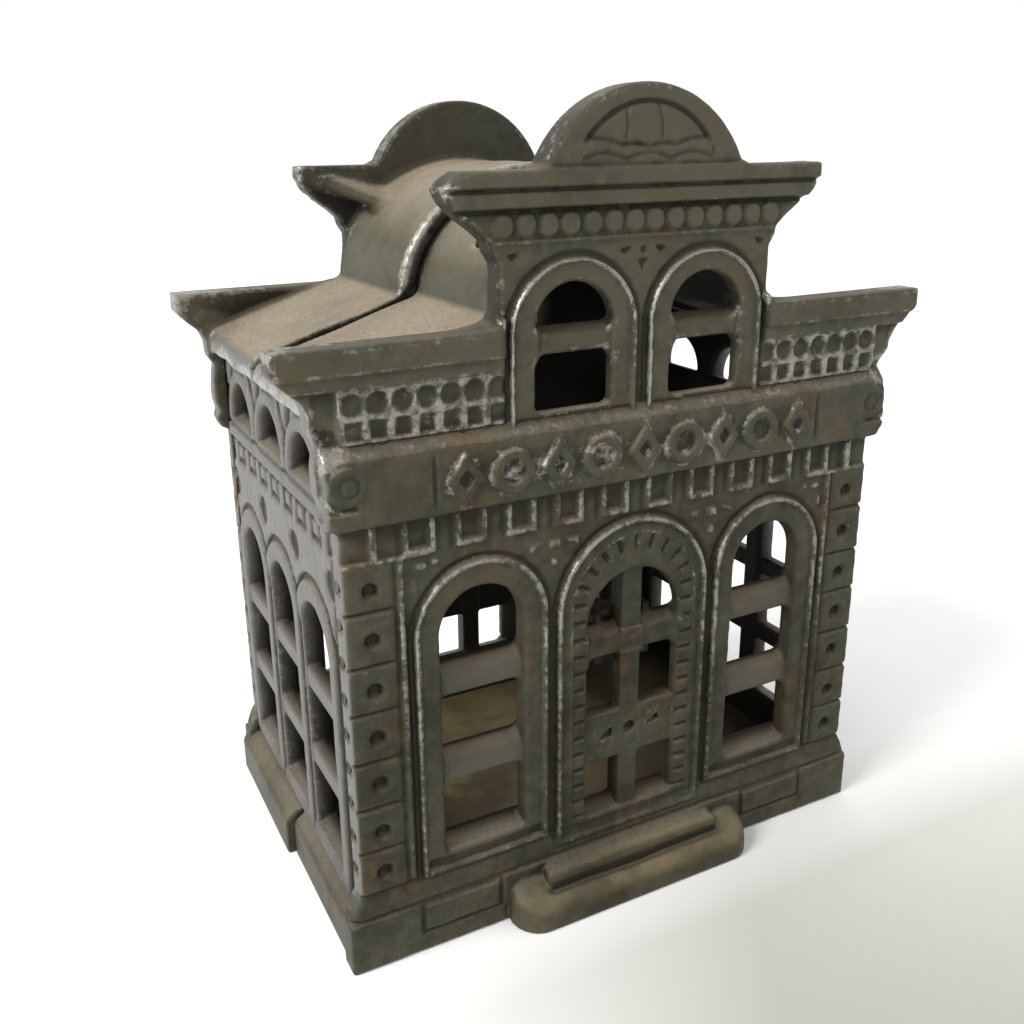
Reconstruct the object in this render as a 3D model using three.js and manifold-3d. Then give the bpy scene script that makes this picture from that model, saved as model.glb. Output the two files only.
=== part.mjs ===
// Cast iron still bank in the shape of a small bank building.
//
// Two facade castings, front and rear, each carry half of the roof, half of the
// floor and half of the plinth. They close over two side walls like a box and its
// lid: the rear half laps outside the front half at mid depth. One long tie screw
// runs from the rear facade to a square nut behind the bars of the front door.
//
// Millimetres, +Z up, +X to the right of someone facing the building, +Y to the
// rear. The drawing plane y = 0 is the field of the front wall; the finished group
// is shifted so that its origin is at the centre of the underside.

import * as THREE from 'three';
import { mergeVertices } from 'three/addons/utils/BufferGeometryUtils.js';
import Module from 'manifold-3d';

const wasm = await Module();
wasm.setup();

// ---- driving dimensions -------------------------------------------------------

const DEPTH = 54; // front wall field to rear wall field
const WALL_HALF = 40; // half width of the facades above the plinth
const SLAB = 3.2; // thickness of a facade
const PLATE = 3.2; // thickness of a side wall
const PLATE_OUT = 40.4; // outer face of a side wall
const GAP = 0.3; // clearance between pieces that touch
const MID = DEPTH / 2; // plane where the two halves meet
const LAP = 3; // how far the front half reaches into the rear half

const PLINTH_TOP = 7.4;
const WATER_TABLE_TOP = 11.2;
const PLINTH_HALF = 41.8;
const PLINTH_SIDE_FRONT = 41.4; // half width of the plinth's flanks, front casting
const PLINTH_SIDE_REAR = 42.5; // and rear casting, which laps outside
const PLINTH_WALL = 3; // thickness of the plinth's flanks
const FLOOR_LOW = 1.8;
const FLOOR_TOP = 4.2;
const FLOOR_HALF = 41; // the floor runs into the plinth's flanks

const SHOULDER_TOP = 81.3; // top of the low cornice
const SHOULDER_TIP = 46.4; // half width of the low cornice
const TOWER_HALF = 19.6; // half width of the tall middle of the facade
const CORNICE_TOP = 98.7; // top of the high cornice
const CORNICE_TIP = 26.5;
const PEDIMENT_HALF = 14;
const TOP = 108; // top of the round pediment

const EAVE_HALF = 41.8;
const EAVE_LOW = 72.4;
const WALL_TOP = 73.2; // top edge of a side wall
const ROOF_SLOPE = 0.314;
const ROOF_BREAK = 22.4; // where the heights of the shoulder roofs are given
const REAR_ROOF = { shoulder: 82, vaultX: 20.8, vaultZ: 18.2, springing: 80.8, plate: 2.6 };
const FRONT_ROOF = { shoulder: 80.9, vaultX: 18.8, vaultZ: 16.6, springing: 79.6, plate: 2.4 };
const LAP_PLATE = 1.5;
const LAP_HALF = 36; // half width of the lapping strips, clear of the side walls
const LAP_CUT = 75; // lowest level of the roof's lapping strip
const VAULT_FOOT = 0.8; // how far the shoulder roofs stop short of the vault's flank
const EAVE_DROP = 0.4; // how far the worn eave edge lies below the roof's plane
const LAP_SILL_LOW = 0.6; // underside of the strip of rear floor below the front's

const SLOT_LENGTH = 30; // coin slot, across the vault of the front half
const SLOT_WIDTH = 3;
const SLOT_Y = 14;

const DOOR = { centre: 0, half: 7.2, low: 11.6, apex: 48 };
const DOOR_PANEL = { low: 20, high: 27.2 };
const LOWER_WINDOW = { centre: 22.4, half: 5.8, low: 15, apex: 50.4 };
const UPPER_WINDOW = { centre: 9.6, half: 5.3, low: 70.4, apex: 86.1 };
const SIDE_WINDOW = { half: 5.7, low: 10.7, apex: 46.7, pitch: 15 };
const SIDE_BARS = [[20.7, 23.4], [32.5, 35.2]];
const SIDE_BAR_DEPTH = 2.2; // thinner than the side wall
const LUNETTE = { half: 5.5, low: 62.6, apex: 69 };
const FRONT_BARS = [[23.6, 28], [36, 40]];
const UPPER_BAR = [77.6, 81.2];
const BAR_FRONT = 0.3; // how far the bars lie behind the wall field
const MULLION_HALF = 1.6;

// Flat bands that stand proud of the wall field: half width, levels, relief.
const PLINTH_BAND = { half: PLINTH_HALF, low: 0, high: PLINTH_TOP, proud: 0.6 };
const WATER_TABLE = { half: WALL_HALF + 0.4, low: 8, high: WATER_TABLE_TOP, proud: 0.4 };
const SIGN_BAND = { half: 41.2, low: 61, high: 70, proud: 1.4 };
const HIGH_CORNICE = { half: 25.4, low: 94.4, high: CORNICE_TOP, proud: 1.2 };
const LOW_CORNICE = { half: 45.2, low: 76.4, high: SHOULDER_TOP, proud: 1 };

// Raised arches around the openings: outer and inner radius, foot, springing.
const RIM_PROUD = 0.6;
const DOOR_RIM = { outer: 11.8, inner: 10.8, low: 11.2, springing: 43.4 };
const LOWER_RIM = { outer: 9.4, inner: 8.6, low: 11.6, springing: 44.8 };
const UPPER_RIM = { outer: 8.8, inner: 8, low: 70, springing: 80.2 };

const TONGUE = { reach: 1, half: 0.8 }; // edge of a side wall, held in a facade's groove

// Treads, lower first: half width, reach in front of the wall, corner radius, height.
const STEPS = [
  { half: 19.6, depth: 5.4, corner: 4, top: 3.8 },
  { half: 14.4, depth: 2.7, corner: 0.8, top: 7.2 },
];

const SCREW_Z = 38; // height of the tie screw, at the crossing of both doors' bars
const SCREW_RADIUS = 1.75;
const SCREW_HOLE = 2.2;
const HEAD = { radius: 3.5, height: 2.2, rim: 0.7, slotLow: 1.1, slotHalf: 0.45 };
const WASHER = { radius: 4.4, hole: 2.1, thickness: 0.9 };
const NUT = { side: 5.8, thickness: 3, socketWall: 1.2 };
const BOSS = { radius: 5.2, proud: 0.6 }; // round pad for the screw on the rear facade
const REAR_REACH = DEPTH + BOSS.proud + WASHER.thickness + 2 * GAP + HEAD.height;

const PANEL_RECESS = 0.2;

const ROOT = 0.5; // how far a joined feature runs into its neighbour
const PAST = 1; // how far a cutter runs past what it cuts
const ARC_STEPS = 10;
const ROUND_SIDES = 20;

// ---- solids -------------------------------------------------------------------

/** Closed three.js geometry to a manifold solid. */
function solid(geometry) {
  const bare = new THREE.BufferGeometry();
  bare.setAttribute('position', geometry.getAttribute('position'));
  if (geometry.index) bare.setIndex(geometry.index);
  const merged = mergeVertices(bare, 1e-4);
  return new wasm.Manifold(new wasm.Mesh({
    numProp: 3,
    vertProperties: new Float32Array(merged.getAttribute('position').array),
    triVerts: new Uint32Array(merged.index.array),
  }));
}

/** Box between two corners. */
function box(low, high) {
  const size = high.map((value, i) => value - low[i]);
  const middle = high.map((value, i) => (value + low[i]) / 2);
  return solid(new THREE.BoxGeometry(...size).translate(...middle));
}

/** Outline in X and Z, extruded along Y. */
function extrudeY(shape, yLow, yHigh) {
  const geometry = new THREE.ExtrudeGeometry(shape, {
    depth: yHigh - yLow, bevelEnabled: false, curveSegments: ARC_STEPS,
  });
  return solid(geometry.rotateX(Math.PI / 2).translate(0, yHigh, 0));
}

/** Outline in Y and Z, extruded along X. */
function extrudeX(shape, xLow, xHigh) {
  const geometry = new THREE.ExtrudeGeometry(shape, {
    depth: xHigh - xLow, bevelEnabled: false, curveSegments: ARC_STEPS,
  });
  const turn = new THREE.Matrix4().makeBasis(
    new THREE.Vector3(0, 1, 0), new THREE.Vector3(0, 0, 1), new THREE.Vector3(1, 0, 0));
  return solid(geometry.applyMatrix4(turn).translate(xLow, 0, 0));
}

/** Round bar along Y. */
function rodY(radius, yLow, yHigh) {
  const geometry = new THREE.CylinderGeometry(radius, radius, yHigh - yLow, ROUND_SIDES);
  return solid(geometry.translate(0, (yLow + yHigh) / 2, 0));
}

function union(solids) {
  return solids.reduce((sum, next) => sum.add(next));
}

/** Outline of the right half, mirrored to a whole closed shape about X = 0. */
function mirrored(points) {
  const left = points.filter(([x]) => x > 1e-6).map(([x, z]) => [-x, z]).reverse();
  const all = [...points, ...left].map(([x, z]) => new THREE.Vector2(x, z));
  return new THREE.Shape(all);
}

/** Opening with a round head. */
function archShape(centre, half, low, apex) {
  const springing = apex - half;
  const shape = new THREE.Shape();
  shape.moveTo(centre - half, low);
  shape.lineTo(centre + half, low);
  shape.lineTo(centre + half, springing);
  shape.absarc(centre, springing, half, 0, Math.PI, false);
  shape.closePath();
  return shape;
}

/** Points of an ellipse's quarter, from its side to its top. */
function quarter(halfX, halfZ, springing) {
  const points = [];
  for (let i = 0; i <= ARC_STEPS; i += 1) {
    const angle = (i / ARC_STEPS) * Math.PI / 2;
    points.push([halfX * Math.cos(angle), springing + halfZ * Math.sin(angle)]);
  }
  return points;
}

// ---- facades ------------------------------------------------------------------

/** Silhouette of a facade, right half from the ground to the top. */
function facadeOutline() {
  const lowCornice = [
    [WALL_HALF, 60], [41.2, 60.8], [42, 63.2], [42, 68], [42.4, 72], [42.9, 75.2],
    [44.2, 76.8], [45.8, 78], [SHOULDER_TIP, 78.8], [SHOULDER_TIP, SHOULDER_TOP],
  ];
  const highCornice = [
    [TOWER_HALF, SHOULDER_TOP], [TOWER_HALF, 88.8], [20.6, 90], [20.9, 91], [22.2, 92.2],
    [24, 93.6], [25.6, 95.2], [CORNICE_TIP, 96.8], [CORNICE_TIP, CORNICE_TOP],
  ];
  const rise = TOP - CORNICE_TOP;
  const radius = (PEDIMENT_HALF ** 2 + rise ** 2) / (2 * rise);
  const start = Math.asin(PEDIMENT_HALF / radius);
  const pediment = [];
  for (let i = 0; i <= ARC_STEPS; i += 1) {
    const angle = start * (1 - i / ARC_STEPS);
    pediment.push([radius * Math.sin(angle), TOP - radius + radius * Math.cos(angle)]);
  }
  const base = [[PLINTH_HALF, 0], [PLINTH_HALF, PLINTH_TOP], [WALL_HALF, WATER_TABLE_TOP]];
  return mirrored([...base, ...lowCornice, ...highCornice, ...pediment]);
}

/** Raised arch around an opening, standing proud of the wall field. */
function rim(centre, { outer, inner, low, springing }) {
  const shape = archShape(centre, outer, low, springing + outer);
  shape.holes.push(archShape(centre, inner, low + outer - inner, springing + inner));
  return extrudeY(shape, -RIM_PROUD, ROOT);
}

/** Flat band between two half widths, on one side of the facade or right across it. */
function band({ half, low, high, proud }, from = -half, to = half) {
  return box([from, -proud, low], [to, ROOT, high]);
}

/** Cross bars of an arched opening of a facade. */
function bars(window, levels) {
  const left = window.centre - window.half - ROOT;
  const right = window.centre + window.half + ROOT;
  return levels.map(([low, high]) => box([left, BAR_FRONT, low], [right, SLAB, high]));
}

/** Upright in the middle of the door. */
function mullion() {
  return box(
    [-MULLION_HALF, BAR_FRONT, DOOR.low - ROOT], [MULLION_HALF, SLAB, DOOR.apex + ROOT]);
}

/** One facade with its relief; its outer face looks along -Y from y = 0. */
function facade() {
  const pair = (window) => [window, { ...window, centre: -window.centre }];
  const lower = pair(LOWER_WINDOW);
  const upper = pair(UPPER_WINDOW);
  const openings = [DOOR, ...lower, ...upper].map((w) => (
    extrudeY(archShape(w.centre, w.half, w.low, w.apex), -SLAB, 2 * SLAB)));
  const towerFoot = TOWER_HALF - 1;
  const relief = [
    band(PLINTH_BAND), band(WATER_TABLE), band(SIGN_BAND), band(HIGH_CORNICE),
    band(LOW_CORNICE, towerFoot), band(LOW_CORNICE, -LOW_CORNICE.half, -towerFoot),
    rim(0, DOOR_RIM),
    ...lower.map((w) => rim(w.centre, LOWER_RIM)),
    ...upper.map((w) => rim(w.centre, UPPER_RIM)),
  ];
  const pierced = union([extrudeY(facadeOutline(), 0, SLAB), ...relief])
    .subtract(union(openings));
  const panelHalf = DOOR.half + ROOT;
  const panel = box(
    [-panelHalf, PANEL_RECESS, DOOR_PANEL.low], [panelHalf, SLAB, DOOR_PANEL.high]);
  const glazing = [
    mullion(), ...bars(DOOR, [FRONT_BARS[1]]),
    ...lower.flatMap((w) => bars(w, FRONT_BARS)),
    ...upper.flatMap((w) => bars(w, [UPPER_BAR])),
  ];
  const grooveHalf = TONGUE.half + GAP;
  const grooves = [-1, 1].map((side) => {
    const x = side * (PLATE_OUT - PLATE / 2);
    return box(
      [x - grooveHalf, SLAB - TONGUE.reach, PLINTH_TOP],
      [x + grooveHalf, SLAB + ROOT, WALL_TOP + GAP]);
  });
  return union([pierced, panel, ...glazing]).subtract(union(grooves));
}

// ---- roof, floor and plinth halves ---------------------------------------------

/** Height of a shoulder roof at half width x. */
function shoulderHeight(roof, x) {
  return roof.shoulder - (x - ROOF_BREAK) * ROOF_SLOPE;
}

/** Solid under a roof's upper surface, down to the eave lips. */
function roofOutside(roof, yLow, yHigh) {
  const foot = roof.vaultX + VAULT_FOOT;
  return extrudeY(mirrored([
    [EAVE_HALF, EAVE_LOW],
    [EAVE_HALF, shoulderHeight(roof, EAVE_HALF) - EAVE_DROP],
    [foot, shoulderHeight(roof, foot)],
    ...quarter(roof.vaultX, roof.vaultZ, roof.springing).slice(1),
  ]), yLow, yHigh);
}

/** The room under a roof, with a step over the top edges of the side walls. */
function roofInside(roof, yLow, yHigh) {
  const halfX = roof.vaultX - roof.plate;
  const ledge = PLATE_OUT - PLATE - GAP;
  return extrudeY(mirrored([
    [PLATE_OUT + GAP, EAVE_LOW - PAST],
    [PLATE_OUT + GAP, WALL_TOP + GAP],
    [ledge, WALL_TOP + GAP],
    [ledge, shoulderHeight(roof, ledge) - roof.plate],
    [halfX, shoulderHeight(roof, roof.vaultX) - roof.plate],
    ...quarter(halfX, roof.vaultZ - roof.plate, roof.springing).slice(1),
  ]), yLow, yHigh);
}

/** Solid with the rear roof's under side as its top, set in by a distance. */
function lapSolid(inset, yLow, yHigh) {
  const roof = REAR_ROOF;
  const below = roof.plate + inset;
  const half = LAP_HALF - inset;
  const halfX = roof.vaultX - below;
  return extrudeY(mirrored([
    [half, EAVE_LOW],
    [half, shoulderHeight(roof, half) - below],
    [halfX, shoulderHeight(roof, roof.vaultX) - below],
    ...quarter(halfX, roof.vaultZ - below, roof.springing).slice(1),
  ]), yLow, yHigh);
}

function roofShell(roof, yLow, yHigh) {
  return roofOutside(roof, yLow, yHigh).subtract(roofInside(roof, yLow - PAST, yHigh + PAST));
}

/** Thin strip that the front half pushes into the rear half. */
function lapTongue() {
  const yLow = MID - LAP;
  const yHigh = MID + LAP;
  const strip = lapSolid(GAP, yLow, yHigh)
    .subtract(lapSolid(GAP + LAP_PLATE, yLow - PAST, yHigh + PAST))
    .subtract(box([-LAP_HALF, yLow - PAST, 0], [LAP_HALF, yHigh + PAST, LAP_CUT]));
  const floorStrip = box([-LAP_HALF, yLow, FLOOR_TOP - LAP_PLATE], [LAP_HALF, yHigh, FLOOR_TOP]);
  return [strip, floorStrip];
}

/** The two flanks of the plinth, on which the side walls stand. */
function plinthFlanks(outer, yLow, yHigh) {
  return [-1, 1].map((side) => {
    const [a, b] = [side * outer, side * (PLINTH_SIDE_FRONT - PLINTH_WALL)];
    return box([Math.min(a, b), yLow, 0], [Math.max(a, b), yHigh, PLINTH_TOP]);
  });
}

/** Two treads in front of the door; the lower one has rounded corners. */
function steps() {
  const outline = (half, depth, corner) => {
    const shape = new THREE.Shape();
    shape.moveTo(half, ROOT);
    shape.lineTo(-half, ROOT);
    shape.lineTo(-half, corner - depth);
    shape.absarc(corner - half, corner - depth, corner, Math.PI, Math.PI * 1.5, false);
    shape.absarc(half - corner, corner - depth, corner, Math.PI * 1.5, Math.PI * 2, false);
    shape.closePath();
    return shape;
  };
  const tread = ({ half, depth, corner, top }) => solid(new THREE.ExtrudeGeometry(
    outline(half, depth, corner),
    { depth: top, bevelEnabled: false, curveSegments: ARC_STEPS / 2 }));
  return STEPS.map(tread);
}

// ---- castings ------------------------------------------------------------------

/** Cast pocket behind the door's bars: two cheeks and a ledge around the nut. */
function nutSocket() {
  const inner = NUT.side / 2 + GAP;
  const outer = inner + NUT.socketWall;
  const low = SCREW_Z - outer;
  const high = SCREW_Z + inner;
  const yLow = SLAB - ROOT;
  const yHigh = SLAB + NUT.thickness + GAP;
  return [
    box([-outer, yLow, low], [-inner, yHigh, high]),
    box([inner, yLow, low], [outer, yHigh, high]),
    box([-outer, yLow, low], [outer, yHigh, SCREW_Z - inner]),
  ];
}

function frontCasting() {
  const yLow = SLAB - ROOT;
  const yHigh = MID - GAP;
  const floor = box([-FLOOR_HALF, yLow, FLOOR_LOW], [FLOOR_HALF, yHigh, FLOOR_TOP]);
  const slot = box(
    [-SLOT_LENGTH / 2, SLOT_Y - SLOT_WIDTH / 2, FRONT_ROOF.springing],
    [SLOT_LENGTH / 2, SLOT_Y + SLOT_WIDTH / 2, TOP]);
  const roof = roofShell(FRONT_ROOF, yLow, yHigh).subtract(slot);
  return union([
    facade(), roof, floor, ...lapTongue(), ...nutSocket(), ...steps(),
    ...plinthFlanks(PLINTH_SIDE_FRONT, yLow, yHigh),
  ]);
}

function rearCasting() {
  const yHigh = DEPTH - SLAB + ROOT;
  const clear = MID + LAP + GAP;
  const floor = box([-FLOOR_HALF, clear, FLOOR_LOW], [FLOOR_HALF, yHigh, FLOOR_TOP]);
  const sill = box(
    [-FLOOR_HALF, MID, LAP_SILL_LOW],
    [FLOOR_HALF, clear + PAST, FLOOR_TOP - LAP_PLATE - GAP]);
  const wall = facade().rotate([0, 0, 180]).translate([0, DEPTH, 0]);
  const boss = rodY(BOSS.radius, DEPTH - SLAB, DEPTH + BOSS.proud).translate([0, 0, SCREW_Z]);
  const hole = rodY(SCREW_HOLE, DEPTH - 2 * SLAB, DEPTH + SLAB).translate([0, 0, SCREW_Z]);
  return union([
    wall, boss, roofShell(REAR_ROOF, MID, yHigh), floor, sill,
    ...plinthFlanks(PLINTH_SIDE_REAR, MID, yHigh),
  ]).subtract(hole);
}

/** Side wall: three barred windows with a row of lunettes above. */
function sideWall() {
  const [yLow, yHigh] = [SLAB + GAP, DEPTH - SLAB - GAP];
  const inside = PLATE_OUT - PLATE;
  const middle = PLATE_OUT - PLATE / 2;
  const [zLow, zHigh] = [PLINTH_TOP + GAP, WALL_TOP];
  const reach = TONGUE.reach - GAP;
  const centres = [-1, 0, 1].map((i) => MID + i * SIDE_WINDOW.pitch);
  const openings = centres.flatMap((y) => [SIDE_WINDOW, LUNETTE].map((w) => (
    extrudeX(archShape(y, w.half, w.low, w.apex), inside - PAST, PLATE_OUT + PAST))));
  const barLow = inside + (PLATE - SIDE_BAR_DEPTH) / 2;
  const cross = SIDE_BARS.map(([low, high]) => (
    box([barLow, yLow + ROOT, low], [barLow + SIDE_BAR_DEPTH, yHigh - ROOT, high])));
  const slab = box([inside, yLow, zLow], [PLATE_OUT, yHigh, zHigh]);
  const tongue = box(
    [middle - TONGUE.half, yLow - reach, zLow], [middle + TONGUE.half, yHigh + reach, zHigh]);
  return union([union([slab, tongue]).subtract(union(openings)), ...cross]);
}

// ---- fasteners -----------------------------------------------------------------

function tieScrew() {
  const seat = DEPTH + BOSS.proud + WASHER.thickness + 2 * GAP;
  const shank = rodY(SCREW_RADIUS, SLAB + GAP, seat + ROOT);
  const { radius, height, rim: rimHeight, slotLow, slotHalf } = HEAD;
  const profile = [[0, 0], [radius, 0]];
  const crown = ARC_STEPS / 2;
  for (let i = 0; i <= crown; i += 1) {
    const angle = (i / crown) * Math.PI / 2;
    const y = rimHeight + (height - rimHeight) * Math.sin(angle);
    profile.push([i < crown ? radius * Math.cos(angle) : 0, y]);
  }
  const points = profile.map(([r, y]) => new THREE.Vector2(r, y));
  const head = solid(new THREE.LatheGeometry(points, ROUND_SIDES)).translate([0, seat, 0]);
  const groove = box(
    [-radius - PAST, seat + slotLow, -slotHalf], [radius + PAST, seat + height + PAST, slotHalf]);
  return union([shank, head.subtract(groove)]);
}

function washer() {
  const seat = DEPTH + BOSS.proud + GAP;
  return rodY(WASHER.radius, seat, seat + WASHER.thickness)
    .subtract(rodY(WASHER.hole, seat - PAST, seat + WASHER.thickness + PAST));
}

function squareNut() {
  const half = NUT.side / 2;
  const seat = SLAB + GAP;
  return box([-half, seat, -half], [half, seat + NUT.thickness, half])
    .subtract(rodY(SCREW_RADIUS + GAP, seat - PAST, seat + NUT.thickness + PAST));
}

// ---- scene graph ---------------------------------------------------------------

/** Manifold solid to a named mesh with its own material. */
function mesh(name, manifold, look) {
  const { vertProperties, triVerts } = manifold.getMesh();
  const geometry = new THREE.BufferGeometry();
  geometry.setAttribute('position', new THREE.BufferAttribute(vertProperties, 3));
  geometry.setIndex(new THREE.BufferAttribute(triVerts, 1));
  geometry.computeVertexNormals();
  const result = new THREE.Mesh(geometry, new THREE.MeshStandardMaterial(look));
  result.name = name;
  return result;
}

const IRON = { color: 0x45423a, roughness: 0.55, metalness: 0.7 };
const WORN_IRON = { color: 0x5d5b53, roughness: 0.5, metalness: 0.7 };
const STEEL = { color: 0x4a3b30, roughness: 0.5, metalness: 0.8 };

const bank = new THREE.Group();
bank.position.y = -(REAR_REACH - STEPS[0].depth) / 2;

const rightWall = sideWall();
bank.add(
  mesh('front_casting', frontCasting(), IRON),
  mesh('rear_casting', rearCasting(), IRON),
  mesh('right_side_wall', rightWall, WORN_IRON),
  mesh('left_side_wall', rightWall.mirror([1, 0, 0]), WORN_IRON),
);

const fastening = new THREE.Group();
fastening.position.z = SCREW_Z;
fastening.add(
  mesh('tie_screw', tieScrew(), STEEL),
  mesh('screw_washer', washer(), STEEL),
  mesh('square_nut', squareNut(), STEEL),
);
bank.add(fastening);

export default bank;
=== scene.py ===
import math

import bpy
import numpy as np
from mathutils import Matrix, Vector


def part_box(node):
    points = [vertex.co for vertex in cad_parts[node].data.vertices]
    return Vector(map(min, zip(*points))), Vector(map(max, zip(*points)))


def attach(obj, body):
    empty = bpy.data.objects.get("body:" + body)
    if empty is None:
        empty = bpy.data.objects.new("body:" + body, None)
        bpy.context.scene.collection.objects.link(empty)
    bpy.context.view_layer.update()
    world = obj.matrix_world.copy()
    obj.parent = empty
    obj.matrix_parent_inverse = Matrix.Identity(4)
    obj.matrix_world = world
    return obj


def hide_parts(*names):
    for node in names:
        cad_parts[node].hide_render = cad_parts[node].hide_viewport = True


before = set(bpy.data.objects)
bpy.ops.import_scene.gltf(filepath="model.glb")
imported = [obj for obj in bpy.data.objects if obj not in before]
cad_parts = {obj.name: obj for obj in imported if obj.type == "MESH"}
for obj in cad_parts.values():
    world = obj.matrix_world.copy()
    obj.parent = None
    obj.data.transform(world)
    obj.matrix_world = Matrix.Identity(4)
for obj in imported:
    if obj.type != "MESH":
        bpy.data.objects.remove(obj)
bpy.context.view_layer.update()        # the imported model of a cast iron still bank, shaped like a small bank building

# Every iron piece is cast here as a field of signed distances on a fine grid, which
# is then skinned with a closed mesh. Shapes are in millimetres in the building's own
# frame: y = 0 is the field of the front wall, +Y runs to the rear and z = 0 is the
# ground. The rear casting is made in the same frame and turned round at the end.

MM = 0.001

# ---- places taken from the frame ------------------------------------------------

STEP_REACH = 5.4  # the lower tread in front of the wall
UPPER_REACH = 2.7  # the upper tread
SIGN_PROUD = 1.4  # the sign band in front of the wall
front_low, front_high = (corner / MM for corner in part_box("front_casting"))
_, rear_high = (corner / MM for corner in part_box("rear_casting"))
wall_low, wall_high = (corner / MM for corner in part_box("right_side_wall"))
screw_low, screw_high = (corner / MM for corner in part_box("tie_screw"))
_, washer_high = (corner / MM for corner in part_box("screw_washer"))
_, nut_high = (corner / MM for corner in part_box("square_nut"))

FIELD = front_low.y + STEP_REACH  # the front wall's field in the frame
DEPTH = rear_high.y - SIGN_PROUD - FIELD
MID = DEPTH / 2
TOP = front_high.z
SHOULDER_TIP = front_high.x
PLATE_OUT, PLATE_IN = wall_high.x, wall_low.x
SCREW_Z = (screw_low.z + screw_high.z) / 2

# ---- driving dimensions ---------------------------------------------------------

SLAB = 3.2  # thickness of a facade
GAP = 0.3
LAP = 3.0  # how far the front half reaches into the rear half
WALL_HALF = 40.0
PLINTH_TOP = 7.4
PLINTH_HALF = 41.8
PLINTH_SIDE = {"front": 41.4, "rear": 42.5}
PLINTH_INSIDE = 38.4
FLOOR = (1.8, 4.2)
FLOOR_HALF = 41.0

SHOULDER_TOP = 81.3
TOWER_HALF = 19.6
CORNICE_TOP = 98.7
CORNICE_TIP = 26.5
PEDIMENT_HALF = 14.0

EAVE_HALF = 41.8
EAVE_LOW = 72.4
WALL_TOP = 73.2
ROOF_SLOPE = 0.314
ROOF_BREAK = 22.4
ROOFS = {
    "front": dict(shoulder=80.9, vault_x=18.8, vault_z=16.6, springing=79.6, plate=2.4, dip=0.0),
    "rear": dict(shoulder=82.0, vault_x=20.8, vault_z=18.2, springing=80.8, plate=2.6, dip=0.45),
}
LAP_PLATE = 1.5
LAP_HALF = 36.0
LAP_CUT = 75.0
SLOT = dict(half=15.0, y=14.0, width=3.0)

# Openings: the jambs are straight as far back as their depth and flare out behind it.
DOOR = dict(centre=0.0, half=7.2, low=11.6, springing=40.8, depth=1.2)
LOWER_WINDOW = dict(centre=22.4, half=5.8, low=14.0, springing=44.6, depth=2.2)
UPPER_WINDOW = dict(centre=9.6, half=5.3, low=70.9, springing=80.8, depth=1.2)
DOOR_PANEL = (20.0, 27.2)
LOWER_BARS = ((23.6, 28.0), (36.0, 40.0))
QUOIN_DOT = 36.7

BOSS_RADIUS = 5.2
SCREW_HOLE = 2.2
SHANK_RADIUS = 1.75
WASHER_HOLE = 2.1
HEAD = dict(radius=3.5, height=2.2, rim=0.7, slot=0.45, slot_low=1.1)
PITCH = 0.79375  # 32 threads to the inch, as in the coupling of its turn to its travel
THREAD_DEPTH = 0.36
THREAD_END = 17.0

# ---- how finely the iron is cast ------------------------------------------------

CELL = 0.25
MOST_TRIANGLES = 170_000
FAR = 9.0
FAR_RIM = 900.0  # for a casting whose rim at the seam isn't worn
RAMP = 0.28  # half width of the soft edge of a raised shape


def join(a, b, blend):
    """Union of two fields; blend is the size of the fillet between them."""
    blend = np.maximum(blend, 1e-6)
    close = np.maximum(blend - np.abs(a - b), 0)
    return np.minimum(a, b) - close * close / (4 * blend)


def overlap(a, b, blend=0.0):
    """What two fields share; blend rounds the edge between them."""
    return -join(-a, -b, blend)


def length(a, b):
    return np.sqrt(a * a + b * b)


def corner_distance(over_a, over_b, corner):
    """Distance to where two half planes meet, rounded by a corner radius."""
    over_a, over_b = over_a + corner, over_b + corner
    outside = length(np.maximum(over_a, 0), np.maximum(over_b, 0))
    return outside + np.minimum(np.maximum(over_a, over_b), 0) - corner


def span_distance(value, low, high):
    return np.abs(value - (low + high) / 2) - (high - low) / 2


def rectangle(a, b, low_a, high_a, low_b, high_b, corner=0.0):
    """Distance to a rectangle in the plane of a and b, with round corners."""
    return corner_distance(span_distance(a, low_a, high_a), span_distance(b, low_b, high_b), corner)


def disc(a, b, centre_a, centre_b, radius):
    return length(a - centre_a, b - centre_b) - radius


def arch(a, z, centre, half, low, springing, corner=0.0):
    """Distance to a round-headed shape that stands on z = low."""
    body = corner_distance(np.abs(a - centre) - half, low - z, corner)
    return np.where(z > springing, disc(a, z, centre, springing, half), body)


def polygon(a, b, points):
    """Distance to a closed outline, negative inside."""
    nearest = np.full(np.broadcast(a, b).shape, 1e9)
    inside = np.zeros(nearest.shape, bool)
    for (pa, pb), (qa, qb) in zip(points, points[1:] + points[:1]):
        ea, eb = qa - pa, qb - pb
        share = np.clip(((a - pa) * ea + (b - pb) * eb) / (ea * ea + eb * eb), 0, 1)
        off_a, off_b = a - pa - share * ea, b - pb - share * eb
        nearest = np.minimum(nearest, off_a * off_a + off_b * off_b)
        if eb:
            inside ^= ((pb > b) != (qb > b)) & (a < pa + (b - pb) * ea / eb)
    return np.where(inside, -1, 1) * np.sqrt(nearest)


def block(x, y, z, low, high, corner=0.0):
    """Distance to a box with round edges."""
    dx, dy, dz = (span_distance(*span) + corner for span in zip((x, y, z), low, high))
    outside = np.sqrt(np.maximum(dx, 0) ** 2 + np.maximum(dy, 0) ** 2 + np.maximum(dz, 0) ** 2)
    return outside + np.minimum(np.maximum(dx, np.maximum(dy, dz)), 0) - corner


def rise(value, low, high):
    """0 below low, 1 above high, smooth between."""
    share = np.clip((value - low) / (high - low), 0, 1)
    return share * share * (3 - 2 * share)


def soft(distance, ramp=RAMP):
    """1 inside a shape and 0 outside, with a smooth edge."""
    return rise(0.5 - distance / (2 * ramp), 0, 1)


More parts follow.
